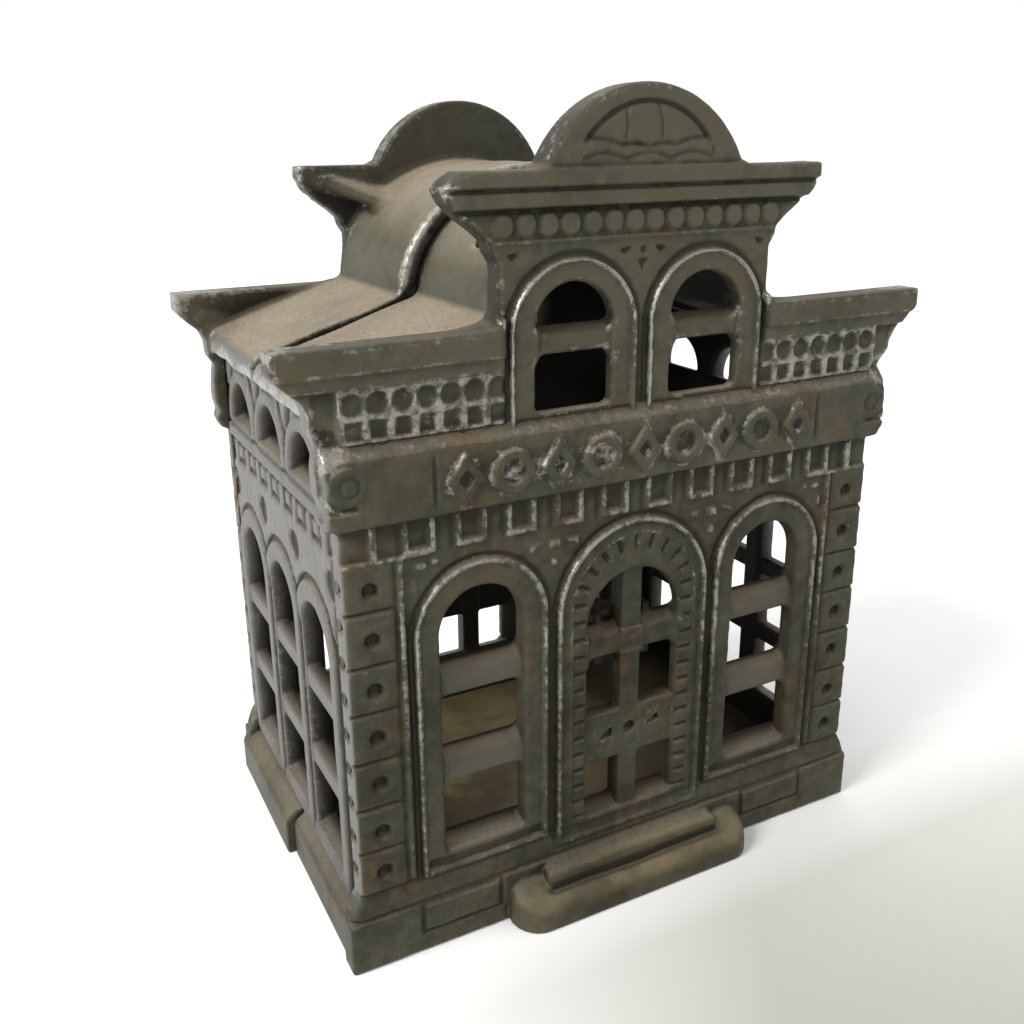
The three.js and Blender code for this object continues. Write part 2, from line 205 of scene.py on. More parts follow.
def waves(a, b, size, seed):
    """Smooth unevenness from about -1 to 1, with bumps of about the given size."""
    rng = np.random.default_rng(seed)
    total = np.zeros(np.broadcast(a, b).shape, np.float32)
    for _ in range(9):
        turn, phase = rng.uniform(0, 2 * math.pi, 2)
        pitch = 2 * math.pi / (size * rng.uniform(0.7, 1.9))
        total += np.sin((a * math.cos(turn) + b * math.sin(turn)) * pitch + phase)
    return total / 3


class Relief:
    """Heights over the flat field of a wall, and how worn each place is."""

    def __init__(self, a, z):
        self.a, self.z = a, z
        self.height = np.zeros(np.broadcast(a, z).shape, np.float32)
        self.wear = np.zeros_like(self.height)

    def box(self, low_a, high_a, low_z, high_z, corner=0.0):
        return rectangle(self.a, self.z, low_a, high_a, low_z, high_z, corner)

    def disc(self, centre, level, radius):
        return disc(self.a, self.z, centre, level, radius)

    def raise_to(self, heights):
        """Brings the relief up to a map, where that map is above 0."""
        self.height = np.where(heights > 0, np.maximum(self.height, heights), self.height)

    def rub(self, amount):
        self.wear = np.maximum(self.wear, amount)

    def lift(self, distance, level, wear=0.0, ramp=RAMP):
        """Brings what lies inside a shape up to a level."""
        share = soft(distance, ramp)
        self.raise_to(level * share)
        self.wear = np.maximum(self.wear * (1 - 0.6 * share), wear * share)

    def add(self, distance, amount, wear=0.0, ramp=RAMP):
        """Raises, or with a negative amount sinks, what lies inside a shape."""
        share = soft(distance, ramp)
        self.height += amount * share
        self.wear = np.maximum(self.wear * (1 - 0.8 * share), wear * share)

    def bead(self, distance, width, level, wear=0.0, where=-FAR):
        """Rounded ridge along the line where distance is 0."""
        off = np.maximum(np.abs(distance) / (width / 2), 1 + where)
        share = np.sqrt(np.clip(1 - off * off, 0, 1))
        self.raise_to(level * share)
        self.rub(wear * np.clip(1.6 - off * 1.2, 0, 1) * (share > 0))

    def groove(self, distance, width, depth, where=-FAR):
        """V-shaped groove along the line where distance is 0."""
        off = np.maximum(np.abs(distance) / (width / 2), 1 + where)
        share = np.clip(1 - off, 0, 1)
        self.height -= depth * share * (2 - share)
        self.wear *= 1 - 0.9 * np.clip(1.4 - off, 0, 1)


# ---- the facade -----------------------------------------------------------------

def facade_outline(chipped):
    """Silhouette of a facade; a chipped one has lost the corner of its left high cornice."""
    right = [
        (PLINTH_HALF, 0.0), (PLINTH_HALF, PLINTH_TOP), (41.2, 8.2), (WALL_HALF, 11.2),
        (WALL_HALF, 60.0), (41.4, 60.8), (42.0, 62.2), (41.5, 63.3), (42.0, 65.0), (42.0, 68.0),
        (41.6, 70.4), (42.4, 72.0), (42.5, 74.0), (43.2, 75.6), (44.6, 76.8), (45.8, 78.0),
        (SHOULDER_TIP, 78.8), (SHOULDER_TIP, SHOULDER_TOP),
        (20.8, SHOULDER_TOP), (19.8, 82.0), (TOWER_HALF, 83.4), (TOWER_HALF, 88.6), (20.5, 90.0),
        (20.7, 91.0), (22.0, 92.2), (24.0, 93.6), (25.6, 95.2), (CORNICE_TIP, 96.8),
    ]
    rise_z = TOP - CORNICE_TOP
    radius = (PEDIMENT_HALF ** 2 + rise_z ** 2) / (2 * rise_z)
    start = math.asin(PEDIMENT_HALF / radius)
    steps = 24
    pediment = [(PEDIMENT_HALF + 0.9, CORNICE_TOP)]
    for i in range(1, steps + 1):
        angle = start * (1 - i / steps)
        pediment.append((radius * math.sin(angle), TOP - radius + radius * math.cos(angle)))
    tip = [(CORNICE_TIP, CORNICE_TOP)]
    chip = [(CORNICE_TIP - 2.3, CORNICE_TOP)] if chipped else tip
    left = [(-x, z) for x, z in reversed(right + chip + pediment[:-1])]
    return right + tip + pediment + left


def window_relief(relief, window, outer, low, springing, bead, worn):
    """Flat raised band with a bead along its outer edge, around a round-headed opening."""
    edge = arch(relief.a, relief.z, window["centre"], outer, low, springing)
    relief.groove(edge - 0.35, 0.9, 0.22)
    relief.lift(np.maximum(edge + 0.3, low + 2.3 - relief.z), 0.34)
    relief.groove(edge + 1.0, 0.5, 0.12, where=low + 3.0 - relief.z)
    relief.bead(edge + 0.4, bead, 0.72, wear=worn)


def plinth_relief(relief):
    z = relief.z
    relief.lift(relief.box(-50, PLINTH_HALF + 1, -5, 7.5), 0.6)
    relief.groove(relief.box(20.4, 31.9, 2.9, 7.2), 0.8, 0.4)
    relief.add(relief.box(21.0, 31.3, 3.5, 6.7, 0.3), 0.12, wear=0.25)
    relief.raise_to(0.5 * np.clip((11.3 - z) / 1.6, 0, 1) * soft(7.8 - z, 0.2))
    relief.groove(z - 7.75, 0.7, 0.45)
    relief.groove(z - 11.3, 0.5, 0.2)


def quoin_relief(relief):
    """Seven rusticated blocks with a drilled dot in each, beside a thin upright bead."""
    side, z = relief.a, relief.z
    relief.lift(relief.box(33.9, 60, 11.5, 56.0), 0.36)
    for level in (17.5, 23.7, 30.2, 36.9, 43.1, 50.0):
        relief.groove(z - level, 0.75, 0.42, where=33.6 - side)
        relief.bead(z - level + 0.55, 0.35, 0.42, wear=0.35, where=33.9 - side)
    for level in (14.1, 20.0, 26.9, 33.3, 39.7, 46.3, 52.6):
        relief.add(relief.disc(QUOIN_DOT, level, 1.25), -0.35, ramp=0.35)
        relief.add(relief.disc(QUOIN_DOT, level, 0.8), -0.75, ramp=0.25)
        # painted highlight: the lower outer side of each dot's rim goes into the wear map, as if caught by the light
        lit = rise(side - QUOIN_DOT - z + level, -1.2, 0.6)
        relief.rub(0.7 * lit * soft(np.abs(relief.disc(QUOIN_DOT, level, 1.3)) - 0.1))
    relief.bead(side - 32.9, 0.8, 0.5, wear=0.75, where=np.maximum(11.6 - z, z - 56))


def dentil_relief(relief):
    """Row of small frames, open at the top, under the sign band."""
    side, z = relief.a, relief.z
    for i in range(5):
        centre = 3.4 + 6.75 * i
        frame_out = relief.box(centre - 2.05, centre + 2.05, 56.1, 63)
        frame_in = relief.box(centre - 1.3, centre + 1.3, 56.85, 63)
        relief.add(relief.box(centre - 2.9, centre + 2.9, 55.9, 61), -0.12)
        relief.lift(np.maximum(frame_out, -frame_in), 0.5, wear=0.85, ramp=0.22)
    relief.lift(relief.box(35.6, 36.6, 56.2, 63), 0.5, wear=0.9, ramp=0.22)
    relief.bead(z - 56.1, 0.5, 0.42, wear=0.85, where=28.6 - side)


def spandrel_relief(relief):
    """Small raised marks between the arches."""
    side, z = relief.a, relief.z
    for centre, level, half, tall in (
            (12.2, 53.8, 0.75, 0.6), (12.2, 51.3, 0.4, 0.55), (30.3, 54.5, 0.7, 0.4),
            (28.5, 54.7, 0.4, 0.35), (31.2, 52.2, 0.3, 0.7), (18.2, 56.0, 0.3, 0.3)):
        shape = relief.box(centre - half, centre + half, level - tall, level + tall, 0.2)
        relief.lift(shape, 0.42, wear=0.8, ramp=0.22)
    for centre, way in ((9.7, -1), (14.8, 1)):
        wedge = polygon(side, z, [
            (centre - 1.0, 54.2), (centre + 1.0, 54.2), (centre + 0.9 * way, 53.1)])
        relief.lift(wedge, 0.42, wear=0.8, ramp=0.22)


def ornament_relief(relief):
    """Plain lozenges and rings along the sign band, worn dark on top and bright around."""
    x, z = relief.x, relief.z
    pitch, middle = 6.2, 64.7
    patchy = rise(waves(x, z, 4, 31), -0.3, 0.5)
    for i in range(-4, 5):
        centre = i * pitch
        if i % 2:
            shape = np.abs(disc(x, z, centre, middle, 2.15)) - 0.8
        else:
            lozenge = (np.abs(x - centre) / 2.6 + np.abs(z - middle) / 3.5 - 1) * 2.05
            shape = np.maximum(lozenge, -(lozenge + 1.5))
        relief.lift(shape, SIGN_PROUD + 0.6, ramp=0.35)
        relief.rub((0.35 + 0.6 * patchy) * soft(np.abs(shape - 0.05) - 0.3))
        relief.lift(disc(x, z, centre, middle, 0.5), SIGN_PROUD + 0.1, ramp=0.3)
    blotches = rise(waves(x, z, 3.2, 37), 0.2, 0.7) * soft(np.abs(z - middle) - 2.8, 0.6)
    relief.rub(0.85 * blotches * rise(-x, 0, 5) * rise(x, -24, -19))


def sign_relief(relief):
    """The broad band across the front, with a scroll at each end."""
    side, z = relief.a, relief.z
    body = np.maximum(60.6 - z, side - 41.6)
    bevel = np.clip((70.4 - z) / 1.7, 0, 1)
    relief.raise_to(SIGN_PROUD * soft(body, 0.35) * bevel)
    relief.wear *= 1 - soft(np.maximum(60.4 - z, z - 69.5), 0.3)
    relief.rub(0.5 * soft(np.abs(z - 69.3) - 0.4, 0.4))
    relief.groove(side - 28.6, 0.7, 0.3, where=np.maximum(61.4 - z, z - 68.4))
    scroll = relief.disc(38.9, 65.9, 2.5)
    relief.groove(scroll, 0.7, 0.25, where=np.maximum(61 - z, 37.5 - side))
    relief.groove(z - 63.1, 0.7, 0.4, where=37.6 - side)
    relief.groove(relief.disc(38.7, 65.8, 1.1), 0.6, 0.25)
    relief.rub(0.7 * soft(np.abs(scroll - 0.5) - 0.25) * rise(side, 38.5, 40))
    corner = relief.disc(41.6, 70.0, 2.6)
    relief.add(corner, -0.6, wear=0.9, ramp=0.8)
    relief.add(relief.disc(42.2, 60.6, 1.6), -0.5, wear=0.5, ramp=0.6)


def frieze_relief(relief):
    """Worn lattice with round and square sinkings, under the low cornice."""
    relief.lift(relief.box(18.8, 39.4, 70.3, 76.6), 0.45, wear=0.95, ramp=0.2)
    for i in range(7):
        centre = 19.9 + 2.95 * i
        relief.add(relief.disc(centre, 74.7, 1.32), -0.42, ramp=0.2)
        tall = relief.box(centre - 0.98, centre + 0.98, 70.7, 72.8, 0.25)
        relief.add(tall, -0.42, ramp=0.2)


def low_cornice_relief(relief):
    side, z = relief.a, relief.z
    beyond = 18.9 - side
    relief.lift(relief.box(18.9, 60, 76.5, 82.5), 0.62)
    relief.lift(relief.box(18.9, 60, 78.3, 82.5), 1.0)
    relief.bead(z - 78.35, 0.5, 1.12, wear=0.6, where=beyond)
    relief.bead(z - 76.7, 0.45, 0.75, wear=0.7, where=beyond)
    relief.lift(relief.box(42.2, 60, 70.6, 76.5), 0.3)


def tower_relief(relief):
    """Beads, marks and cornice of the tall middle."""
    x, side, z = relief.x, relief.a, relief.z
    inside = side - 20.2
    relief.height *= 1 - soft(relief.box(-20, 18.6, 70.2, 94))
    relief.wear *= 1 - soft(relief.box(-20, 18.4, 70.4, 94))
    window_relief(relief, UPPER_WINDOW, 8.8, 68.0, 80.2, 0.65, 0.5)
    relief.bead(z - 90.9, 0.5, 0.4, wear=0.35, where=inside)
    for i in range(7):
        centre = 1.46 + 2.92 * i
        button = relief.disc(centre, 92.7, 1.42)
        relief.groove(button, 0.6, 0.25)
        relief.lift(button + 0.1, 0.5, ramp=0.3)
        # painted highlight: the upper half of each button's rim goes into the wear map, where light from above catches
        # it
        relief.rub(0.4 * soft(np.abs(button + 0.1) - 0.15) * rise(z, 92.5, 93.8))
    for centre, level, half in ((2.5, 89.2, 0.75), (17.7, 89.3, 0.7)):
        wedge = polygon(side, z, [
            (centre - half, level + 0.4), (centre + half, level + 0.1), (centre, level - 0.4)])
        relief.add(wedge, -0.45, ramp=0.2)
    relief.add(disc(x, z, 0, 89.2, 0.4), -0.35, ramp=0.2)
    relief.add(polygon(x, z, [(-0.7, 88.1), (0.7, 88.1), (0.0, 86.6)]), -0.35, wear=0.3, ramp=0.2)


def high_cornice_relief(relief):
    side, z = relief.a, relief.z
    relief.lift(94.5 - z, 0.8)
    relief.lift(96.6 - z, 1.1)
    relief.groove(z - 94.35, 0.7, 0.35)
    relief.groove(z - 96.5, 0.6, 0.4)
    sunk = np.maximum(relief.height - 0.35 * soft(98.95 - z, 0.3), 0)
    relief.height = np.where(z > 98.9, sunk, relief.height)
    relief.groove(z - 98.95, 0.6, 0.3, where=side - 13.2)


def shell_relief(relief):
    """A small shell in the round pediment."""
    x, side, z = relief.x, relief.a, relief.z
    half, low, high = 8.8, 101.2, 105.9
    radius = (half ** 2 + (high - low) ** 2) / (2 * (high - low))
    hood = disc(x, z, 0, high - radius, radius)
    relief.groove(hood, 0.8, 0.45, where=low - z)
    lobes = 100.9 + 1.0 * (x / 8) ** 2 + 0.3 * np.abs(np.sin(x * math.pi / 3.8))
    relief.groove(z - lobes, 0.7, 0.35, where=side - 8.4)
    for foot, lean in ((-3.2, 0.35), (1.75, -0.1)):
        split = x - foot - lean * (z - 102.5) * 0.3 + 0.25 * (z - 102.8) ** 2 * 0.3
        relief.groove(split, 0.5, 0.3, where=np.maximum(101.4 - z, hood))
    cloud = 99.6 + 0.7 * np.abs(np.cos(x * math.pi / 6.2)) * (side < 9.4)
    relief.groove(z - cloud, 0.6, 0.28, where=side - 9.3)
    relief.groove(side - 9.2, 0.5, 0.25, where=np.maximum(99.8 - z, z - 101.2))


def door_relief(relief):
    """The lower windows' bands, and two beads with a ring of small teeth around the door."""
    window_relief(relief, LOWER_WINDOW, 9.2, 11.2, 44.8, 0.85, 0.85)
    side, z = relief.a, relief.z
    springing = 43.4
    outer = arch(side, z, 0, 11.8, 9.0, springing)
    relief.groove(outer - 0.35, 0.9, 0.22)
    relief.lift(np.maximum(outer + 0.3, 11.3 - z), 0.32)
    relief.bead(outer + 0.4, 0.85, 0.75, wear=0.9)
    relief.groove(outer + 1.0, 0.5, 0.12)
    inner = outer + 2.05
    relief.bead(inner, 0.5, 0.62, wear=0.5 * rise(z, 24, 36), where=12.0 - z)
    ring = np.maximum(np.abs(outer + 3.35) - 0.95, 12.0 - z)
    relief.add(ring, -0.3, ramp=0.2)
    pitch = 2.45
    angle = np.arctan2(side, np.maximum(z - springing, 1e-3))
    along = np.where(z > springing, angle * 8.45, 8.45 * math.pi / 2 + springing - z)
    tooth = np.abs((along / pitch) % 1 - 0.5) * pitch - 0.9
    block_edge = np.maximum(ring, tooth)
    relief.add(block_edge, 0.5, ramp=0.22)
    relief.rub(0.45 * soft(np.abs(block_edge) - 0.12) * rise(z, 30, 38))


def facade_relief(x, z):
    """The whole relief; the first coordinate of its shapes is the distance from the middle."""
    relief = Relief(np.abs(x), z)
    relief.x = x
    relief.height += 0.07 * waves(x, z, 9, 3)
    for part in (
            plinth_relief, quoin_relief, door_relief, spandrel_relief, dentil_relief,
            frieze_relief, low_cornice_relief, tower_relief, sign_relief, ornament_relief,
            high_cornice_relief, shell_relief):
        part(relief)
    relief.height += 0.035 * waves(x, z, 2.2, 5)
    relief.wear *= 0.3 + 0.7 * rise(z, 24, 42)
    return relief


def both_sides(window):
    return [dict(window, centre=side * window["centre"]) for side in (-1, 1)]


WINDOWS = [DOOR, *both_sides(LOWER_WINDOW), *both_sides(UPPER_WINDOW)]


# ---- a casting ------------------------------------------------------------------

def between(field, axes, points):
    """Values of a field at points between the corners of its grid."""
    cells, shares = [], []
    for axis, values in zip(axes, points.T):
        place = np.interp(values, axis, np.arange(len(axis)))
        cell = np.minimum(place.astype(int), len(axis) - 2)
        cells.append(cell)
        shares.append(place - cell)
    total = np.zeros(len(points))
    for corner in np.ndindex((2,) * len(axes)):
        weight = np.prod([share if up else 1 - share for share, up in zip(shares, corner)], axis=0)
        total += weight * field[tuple(cell + up for cell, up in zip(cells, corner))]
    return total


class Casting:
    """Field of signed distances on a grid, negative in the iron."""

    def __init__(self, xs, ys, zs):
        self.axes = [np.asarray(axis, np.float32) for axis in (xs, ys, zs)]
        self.field = np.full([len(axis) for axis in self.axes], FAR, np.float32)

    def within(self, low, high):
        """Grid range between two corners, with a margin, and its coordinates."""
        spans = []
        for axis, least, most in zip(self.axes, low, high):
            start = np.searchsorted(axis, least - 1.5)
            spans.append(slice(start, np.searchsorted(axis, most + 1.5, "right")))
        return tuple(spans), np.ix_(*(axis[span] for axis, span in zip(self.axes, spans)))

    def add(self, low, high, shape, blend=0.0):
        spans, place = self.within(low, high)
        self.field[spans] = join(self.field[spans], shape(*place), blend)

    def cut(self, low, high, shape, blend=0.0):
        spans, place = self.within(low, high)
        self.field[spans] = overlap(self.field[spans], -shape(*place), blend)

    def add_block(self, low, high, corner=0.3, blend=0.0):
        self.add(low, high, lambda x, y, z: block(x, y, z, low, high, corner), blend)

    def sample(self, points):
        return between(self.field, self.axes, points)

    def normals(self, points, reach=0.3):
        slopes = []
        for axis in range(3):
            step = np.zeros(3)
            step[axis] = reach
            slopes.append(self.sample(points + step) - self.sample(points - step))
        normal = np.stack(slopes, 1)
        return normal / np.maximum(np.linalg.norm(normal, axis=1, keepdims=True), 1e-9)

    def skin(self):
        """Closed surface of the field by surface nets: vertices and quads."""
        field = self.field
        inside = field < 0
        count = np.zeros([n - 1 for n in field.shape], np.int8)
        for i, j, k in np.ndindex(2, 2, 2):
            count += inside[i:i - 1 or None, j:j - 1 or None, k:k - 1 or None]
        cells = np.argwhere((count > 0) & (count < 8))
        number = np.full(count.shape, -1, np.int32)
        number[tuple(cells.T)] = np.arange(len(cells))
        total = np.zeros((len(cells), 3))
        hits = np.zeros(len(cells))
        for axis in range(3):
            for corner in np.ndindex(2, 2):
                start = np.insert(np.array(corner), axis, 0)
                end = start.copy()
                end[axis] = 1
                low, high = cells + start, cells + end
                a, b = field[tuple(low.T)], field[tuple(high.T)]
                crossed = (a < 0) != (b < 0)
                share = np.where(crossed, a / np.where(crossed, a - b, 1), 0)
                for k, lines in enumerate(self.axes):
                    place = lines[low[:, k]] * (1 - share) + lines[high[:, k]] * share
                    total[:, k] += np.where(crossed, place, 0)
                hits += crossed
        vertices = total / hits[:, None]
        quads = []
        for axis in range(3):
            u, v = [k for k in range(3) if k != axis]
            low = np.moveaxis(inside, (axis, u, v), (0, 1, 2))
            crossed = low[:-1, 1:-1, 1:-1] != low[1:, 1:-1, 1:-1]
            edges = np.argwhere(crossed)
            going_out = low[:-1, 1:-1, 1:-1][tuple(edges.T)]
            around = []
            for du, dv in ((0, 0), (1, 0), (1, 1), (0, 1)):
                cell = np.zeros_like(edges)
                cell[:, axis], cell[:, u], cell[:, v] = edges[:, 0], edges[:, 1] + du, edges[:, 2] + dv
                around.append(number[tuple(cell.T)])
            quad = np.stack(around, 1)
            flip = going_out if axis != 1 else ~going_out
            quad[~flip] = quad[~flip][:, ::-1]
            quads.append(quad)
        return vertices, np.concatenate(quads)


def grid_lines(start, *spans):
    """Grid lines from start, each span going on to its end with its own spacing."""
    lines = [start]
    for end, spacing in spans:
        count = max(1, round((end - lines[-1]) / (spacing * CELL / 0.25)))
        lines += list(np.linspace(lines[-1], end, count + 1)[1:])
    return lines


def shoulder_height(roof, x):
    return roof["shoulder"] - (x - ROOF_BREAK) * ROOF_SLOPE


def roof_surface(x, z, roof, inset):
    """Distance below a roof's upper surface, moved in by inset: shoulders and vault."""
    side = np.abs(x)
    fall = math.cos(math.atan(ROOF_SLOPE))
    shoulders = (z - shoulder_height(roof, side)) * fall + inset
    wide, tall = roof["vault_x"] - inset, roof["vault_z"] - inset
    stretch = np.sqrt((side / wide) ** 2 + (np.maximum(z - roof["springing"], 0) / tall) ** 2)
    vault = (stretch - 1) * np.minimum(wide, tall)
    return join(shoulders, vault, 0.9)


def roof_shell(x, z, roof):
    """Section of a roof: plate over the shoulders and the vault, down to the eave lips."""
    side = np.abs(x)
    lowered = dict(roof, shoulder=roof["shoulder"] - roof["dip"])
    outer = overlap(roof_surface(x, z, lowered, 0.0), side - EAVE_HALF, 1.6)
    outer = overlap(outer, EAVE_LOW - z, 0.7)
    inner = np.maximum(roof_surface(x, z, roof, roof["plate"]), side - (PLATE_IN - GAP))
    ledge = rectangle(side, z, 0, PLATE_OUT + GAP, EAVE_LOW - 9, WALL_TOP + GAP)
    return overlap(outer, -np.minimum(inner, ledge), 0.5)


def add_facade(casting, chipped):
    """The slab with its relief, openings, bars and mullion."""
    relief = facade_relief(casting.axes[0][:, None], casting.axes[2][None, :])

    def slab(x, y, z):
        openings = FAR
        for window in WINDOWS:
            window = dict(window)
            flare = 0.9 * np.maximum(y - window.pop("depth"), 0)
            openings = np.minimum(openings, arch(x, z, corner=1.0, **window) - flare)
        edge = polygon(x, z, facade_outline(chipped)).astype(np.float32) + edge_dots(y, z, x)
        body = overlap(-y - relief.height[:, None], edge, 0.75)
        body = overlap(body, y - SLAB, 0.6)
        return overlap(body, -openings, 0.65).astype(np.float32)
    casting.add((-99, -2.5, -9), (99, SLAB, 200), slab)
    add_sills(casting)
    add_bars(casting)
    return relief


def edge_dots(y, z, x):
    """Small drilled dots along the upright edges of the slab."""
    level = np.clip(np.round((z - 14.5) / 4.8), 0, 8) * 4.8 + 14.5
    dots = soft(length((y - 1.6) * 0.9, z - level) - 0.75, 0.3)
    return 0.65 * dots * (np.abs(x) > 39)


def add_sills(casting):
    """Sloping sills in the door and the lower windows."""
    for window in (DOOR, *both_sides(LOWER_WINDOW)):
        centre, half, low = window["centre"], window["half"] + 0.6, window["low"]

        def sill(x, y, z):
            slope = (z - low - 0.42 * y) * 0.92
            body = np.maximum(np.abs(x - centre) - half, np.maximum(-0.1 - y, y - SLAB))
            return overlap(np.maximum(slope, low - 2.6 - z), body, 0.5)
        casting.add((centre - half, 0, low - 3), (centre + half, SLAB, low + 2), sill, 0.5)


def add_bar(casting, window, low, high, front, slope, cushioned=0.0):
    """Cross bar with a sloping top; a cushion may stand in front of its middle."""
    centre, half = window["centre"], window["half"]

    def body(x, y, z):
        top = z - high + slope * (1 - rise(y, front, 2.6))
        below = np.maximum(np.abs(x - centre) - half - 0.8, low + 0.15 - z)
        shape = overlap(below, np.maximum(front + cushioned - y, y - SLAB), 0.5)
        return overlap(shape, top, 0.6)

    def cushion(x, y, z):
        top = (z - high + slope - (y - front) * slope / 2.2) * 0.8
        shape = block(x, y, z, (centre - half + 0.3, front, low), (centre + half + 0.2, 2.8, high), 0.6)
        return overlap(shape, top, 0.9)
    corners = (centre - half - 0.8, front, low), (centre + half + 0.8, SLAB, high)
    casting.add(*corners, body, 1.7)
    if cushioned:
        casting.add(*corners, cushion, 0.5)


def add_bars(casting):
    for low, high in LOWER_BARS:
        for window in both_sides(LOWER_WINDOW):
            add_bar(casting, window, low, high, 0.6, 1.3, 0.7)
    for window in both_sides(UPPER_WINDOW):
        add_bar(casting, window, 77.6, 80.8, 0.1, 0.5)
    add_bar(casting, DOOR, 35.7, 40.0, 0.35, 1.1)
    low, high = DOOR["low"], DOOR["springing"] + DOOR["half"]
    casting.add_block((-1.6, 0.25, low - 1), (1.6, SLAB, high + 1), 0.4, 0.4)
    casting.add_block((-1.8, -0.15, 35.6), (1.8, 2.6, 39.4), 0.3, 0.2)
    half = DOOR["half"] + 0.5
    casting.add_block((-half, 0.2, DOOR_PANEL[0]), (half, 2.9, DOOR_PANEL[1]), 0.3, 0.5)
    add_door_marks(casting)


def add_door_marks(casting):
    """Three small sinkings in the panel: a triangle, a round one and a triangle."""
    face, middle = 0.2, 24.1
    for centre, points in (
            (-3.8, [(-1.2, -0.9), (1.0, -0.9), (1.0, 0.8)]), (3.8, [(-1.1, -0.5), (0.9, 0.9), (1.2, -0.2)])):
        outline = [(centre + px, middle + pz) for px, pz in points]
        casting.cut(
            (centre - 2, face - 0.6, middle - 2), (centre + 2, face + 1, middle + 2),
            lambda x, y, z: np.maximum(polygon(x, z, outline), np.abs(y - face) - 0.8), 0.2)
    casting.cut(
        (-1.5, face - 0.6, middle - 1.5), (1.5, face + 1.2, middle + 1.5),
        lambda x, y, z: np.maximum(length(x / 1.1, z - middle) - 0.85, np.abs(y - face) - 1.0), 0.2)


def add_roof(casting, roof, y_end):
    """Roof plates from the facade to the seam, with a rounded, worn edge at the seam."""
    def shape(x, y, z):
        shell = roof_shell(x, z, roof) + 0.08 * waves(x, y, 7, 11)
        rim = 0.35 + 1.1 * rise(z, 82, 84)
        return np.maximum(overlap(shell, y - y_end, rim), SLAB - 1.2 - y)
    casting.add((-99, SLAB - 1, EAVE_LOW - 2), (99, y_end, 200), shape, 1.5)


def triangle(x, y, z, corners, thickness):
    """Distance to a flat triangular rib of a thickness."""
    a, b, c = (np.array(corner, float) for corner in corners)
    normal = np.cross(b - a, c - a)
    normal /= np.linalg.norm(normal)

    def towards(point, way):
        return sum((value - start) * share for value, start, share in zip((x, y, z), point, way))
    body = np.abs(towards(a, normal)) - thickness / 2
    for start, end in ((a, b), (b, c), (c, a)):
        out = np.cross(end - start, normal)
        body = overlap(body, towards(start, out / np.linalg.norm(out)), thickness * 0.8)
    return body


def add_cornice_ribs(casting, roof):
    """Sloping web from the vault to the back of each high cornice end."""
    for side in (-1, 1):
        corners = [
            (side * (CORNICE_TIP + 0.2), SLAB - 1.2, CORNICE_TOP - 0.9),
            (side * 13.2, 10.2, roof["springing"] + roof["vault_z"] * 0.6),
            (side * 12.0, SLAB - 1.2, roof["springing"] + roof["vault_z"] * 0.72),
        ]
        low, high = (19.5 * side - 7.5, 0, 88), (19.5 * side + 7.5, 11, CORNICE_TOP)
        casting.add(low, high, lambda x, y, z: triangle(x, y, z, corners, 2.3), 1.2)


def add_base(casting, kind, y_end):
    """The two flanks of the plinth on which the side walls stand."""
    outer = PLINTH_SIDE[kind]
    for low_x, high_x in ((-outer, -PLINTH_INSIDE), (PLINTH_INSIDE, outer)):
        def flank(x, y, z):
            body = block(x, y, z, (low_x, 0.8, 0), (high_x, y_end, PLINTH_TOP), 0.2)
            slope = (np.abs(x) - outer) * 0.6 + (z - PLINTH_TOP + 1.6) * 0.8
            return overlap(body, slope, 0.8)
        casting.add((low_x, 1, 0), (high_x, y_end, PLINTH_TOP), flank, 0.5)


def add_steps(casting):
    """Two worn treads in front of the door."""
    def lower(x, y, z):
        plan = rectangle(x, y, -19.5, 19.5, -STEP_REACH, 2.5, 4.0)
        crevice = 0.7 * np.clip(1 - np.abs(y + UPPER_REACH + 0.2) / 0.6, 0, 1) * soft(np.abs(x) - 14.2, 0.6)
        top = (z - 3.2 - 0.52 * (y + STEP_REACH) + crevice - 0.12 * waves(x, y, 12, 61)) * 0.9
        return overlap(overlap(plan, top, 2.2), -z, 0.3)

    def upper(x, y, z):
        plan = rectangle(x, y, -14.3, 14.3, -UPPER_REACH, 2.5, 0.8)
        top = z - 7.15 - 0.12 * y - 0.1 * waves(x, y, 11, 63)
        return overlap(overlap(plan, top, 1.6), -z, 0.3)
    casting.add((-20, -STEP_REACH, 0), (20, 0.8, 6), lower, 0.3)
    casting.add((-15, -UPPER_REACH, 0), (15, 0.8, 8), upper, 0.1)


def add_lap(casting):
    """Thin strip of the front half that reaches into the rear half."""
    roof = ROOFS["rear"]
    low_y, high_y = MID - LAP, MID + LAP

    def strip(x, y, z):
        outer = np.maximum(roof_surface(x, z, roof, roof["plate"] + GAP), np.abs(x) - LAP_HALF)
        inner = roof_surface(x, z, roof, roof["plate"] + GAP + LAP_PLATE)
        section = np.maximum(np.maximum(outer, -inner), LAP_CUT - z)
        return overlap(section, np.maximum(low_y - y, y - high_y), 0.5)
    casting.add((-99, low_y, LAP_CUT - 1), (99, high_y, 200), strip, 0.3)
    casting.add_block((-LAP_HALF, low_y, FLOOR[1] - LAP_PLATE), (LAP_HALF, high_y, FLOOR[1]), 0.25)


def add_nut_socket(casting):
    """Cheeks and a ledge around the nut, behind the crossing of the door's bars."""
    inner, outer = 3.2, 4.4
    start, end = SLAB - 0.8, nut_high.y - FIELD
    for left, right, up in ((-outer, -inner, inner), (inner, outer, inner), (-outer, outer, -inner)):
        casting.add_block((left, start, SCREW_Z - outer), (right, end, SCREW_Z + up), 0.3, 0.4)


def wall_grooves(casting):
    """Grooves behind the facade that hold the tongues of the side walls."""
    middle = (PLATE_OUT + PLATE_IN) / 2
    for centre in (-middle, middle):
        low, high = (centre - 1.1, 2.2, PLINTH_TOP), (centre + 1.1, 9, WALL_TOP + GAP)
        casting.cut(low, (high[0], SLAB + 1, high[2]), lambda x, y, z: block(x, y, z, low, high))


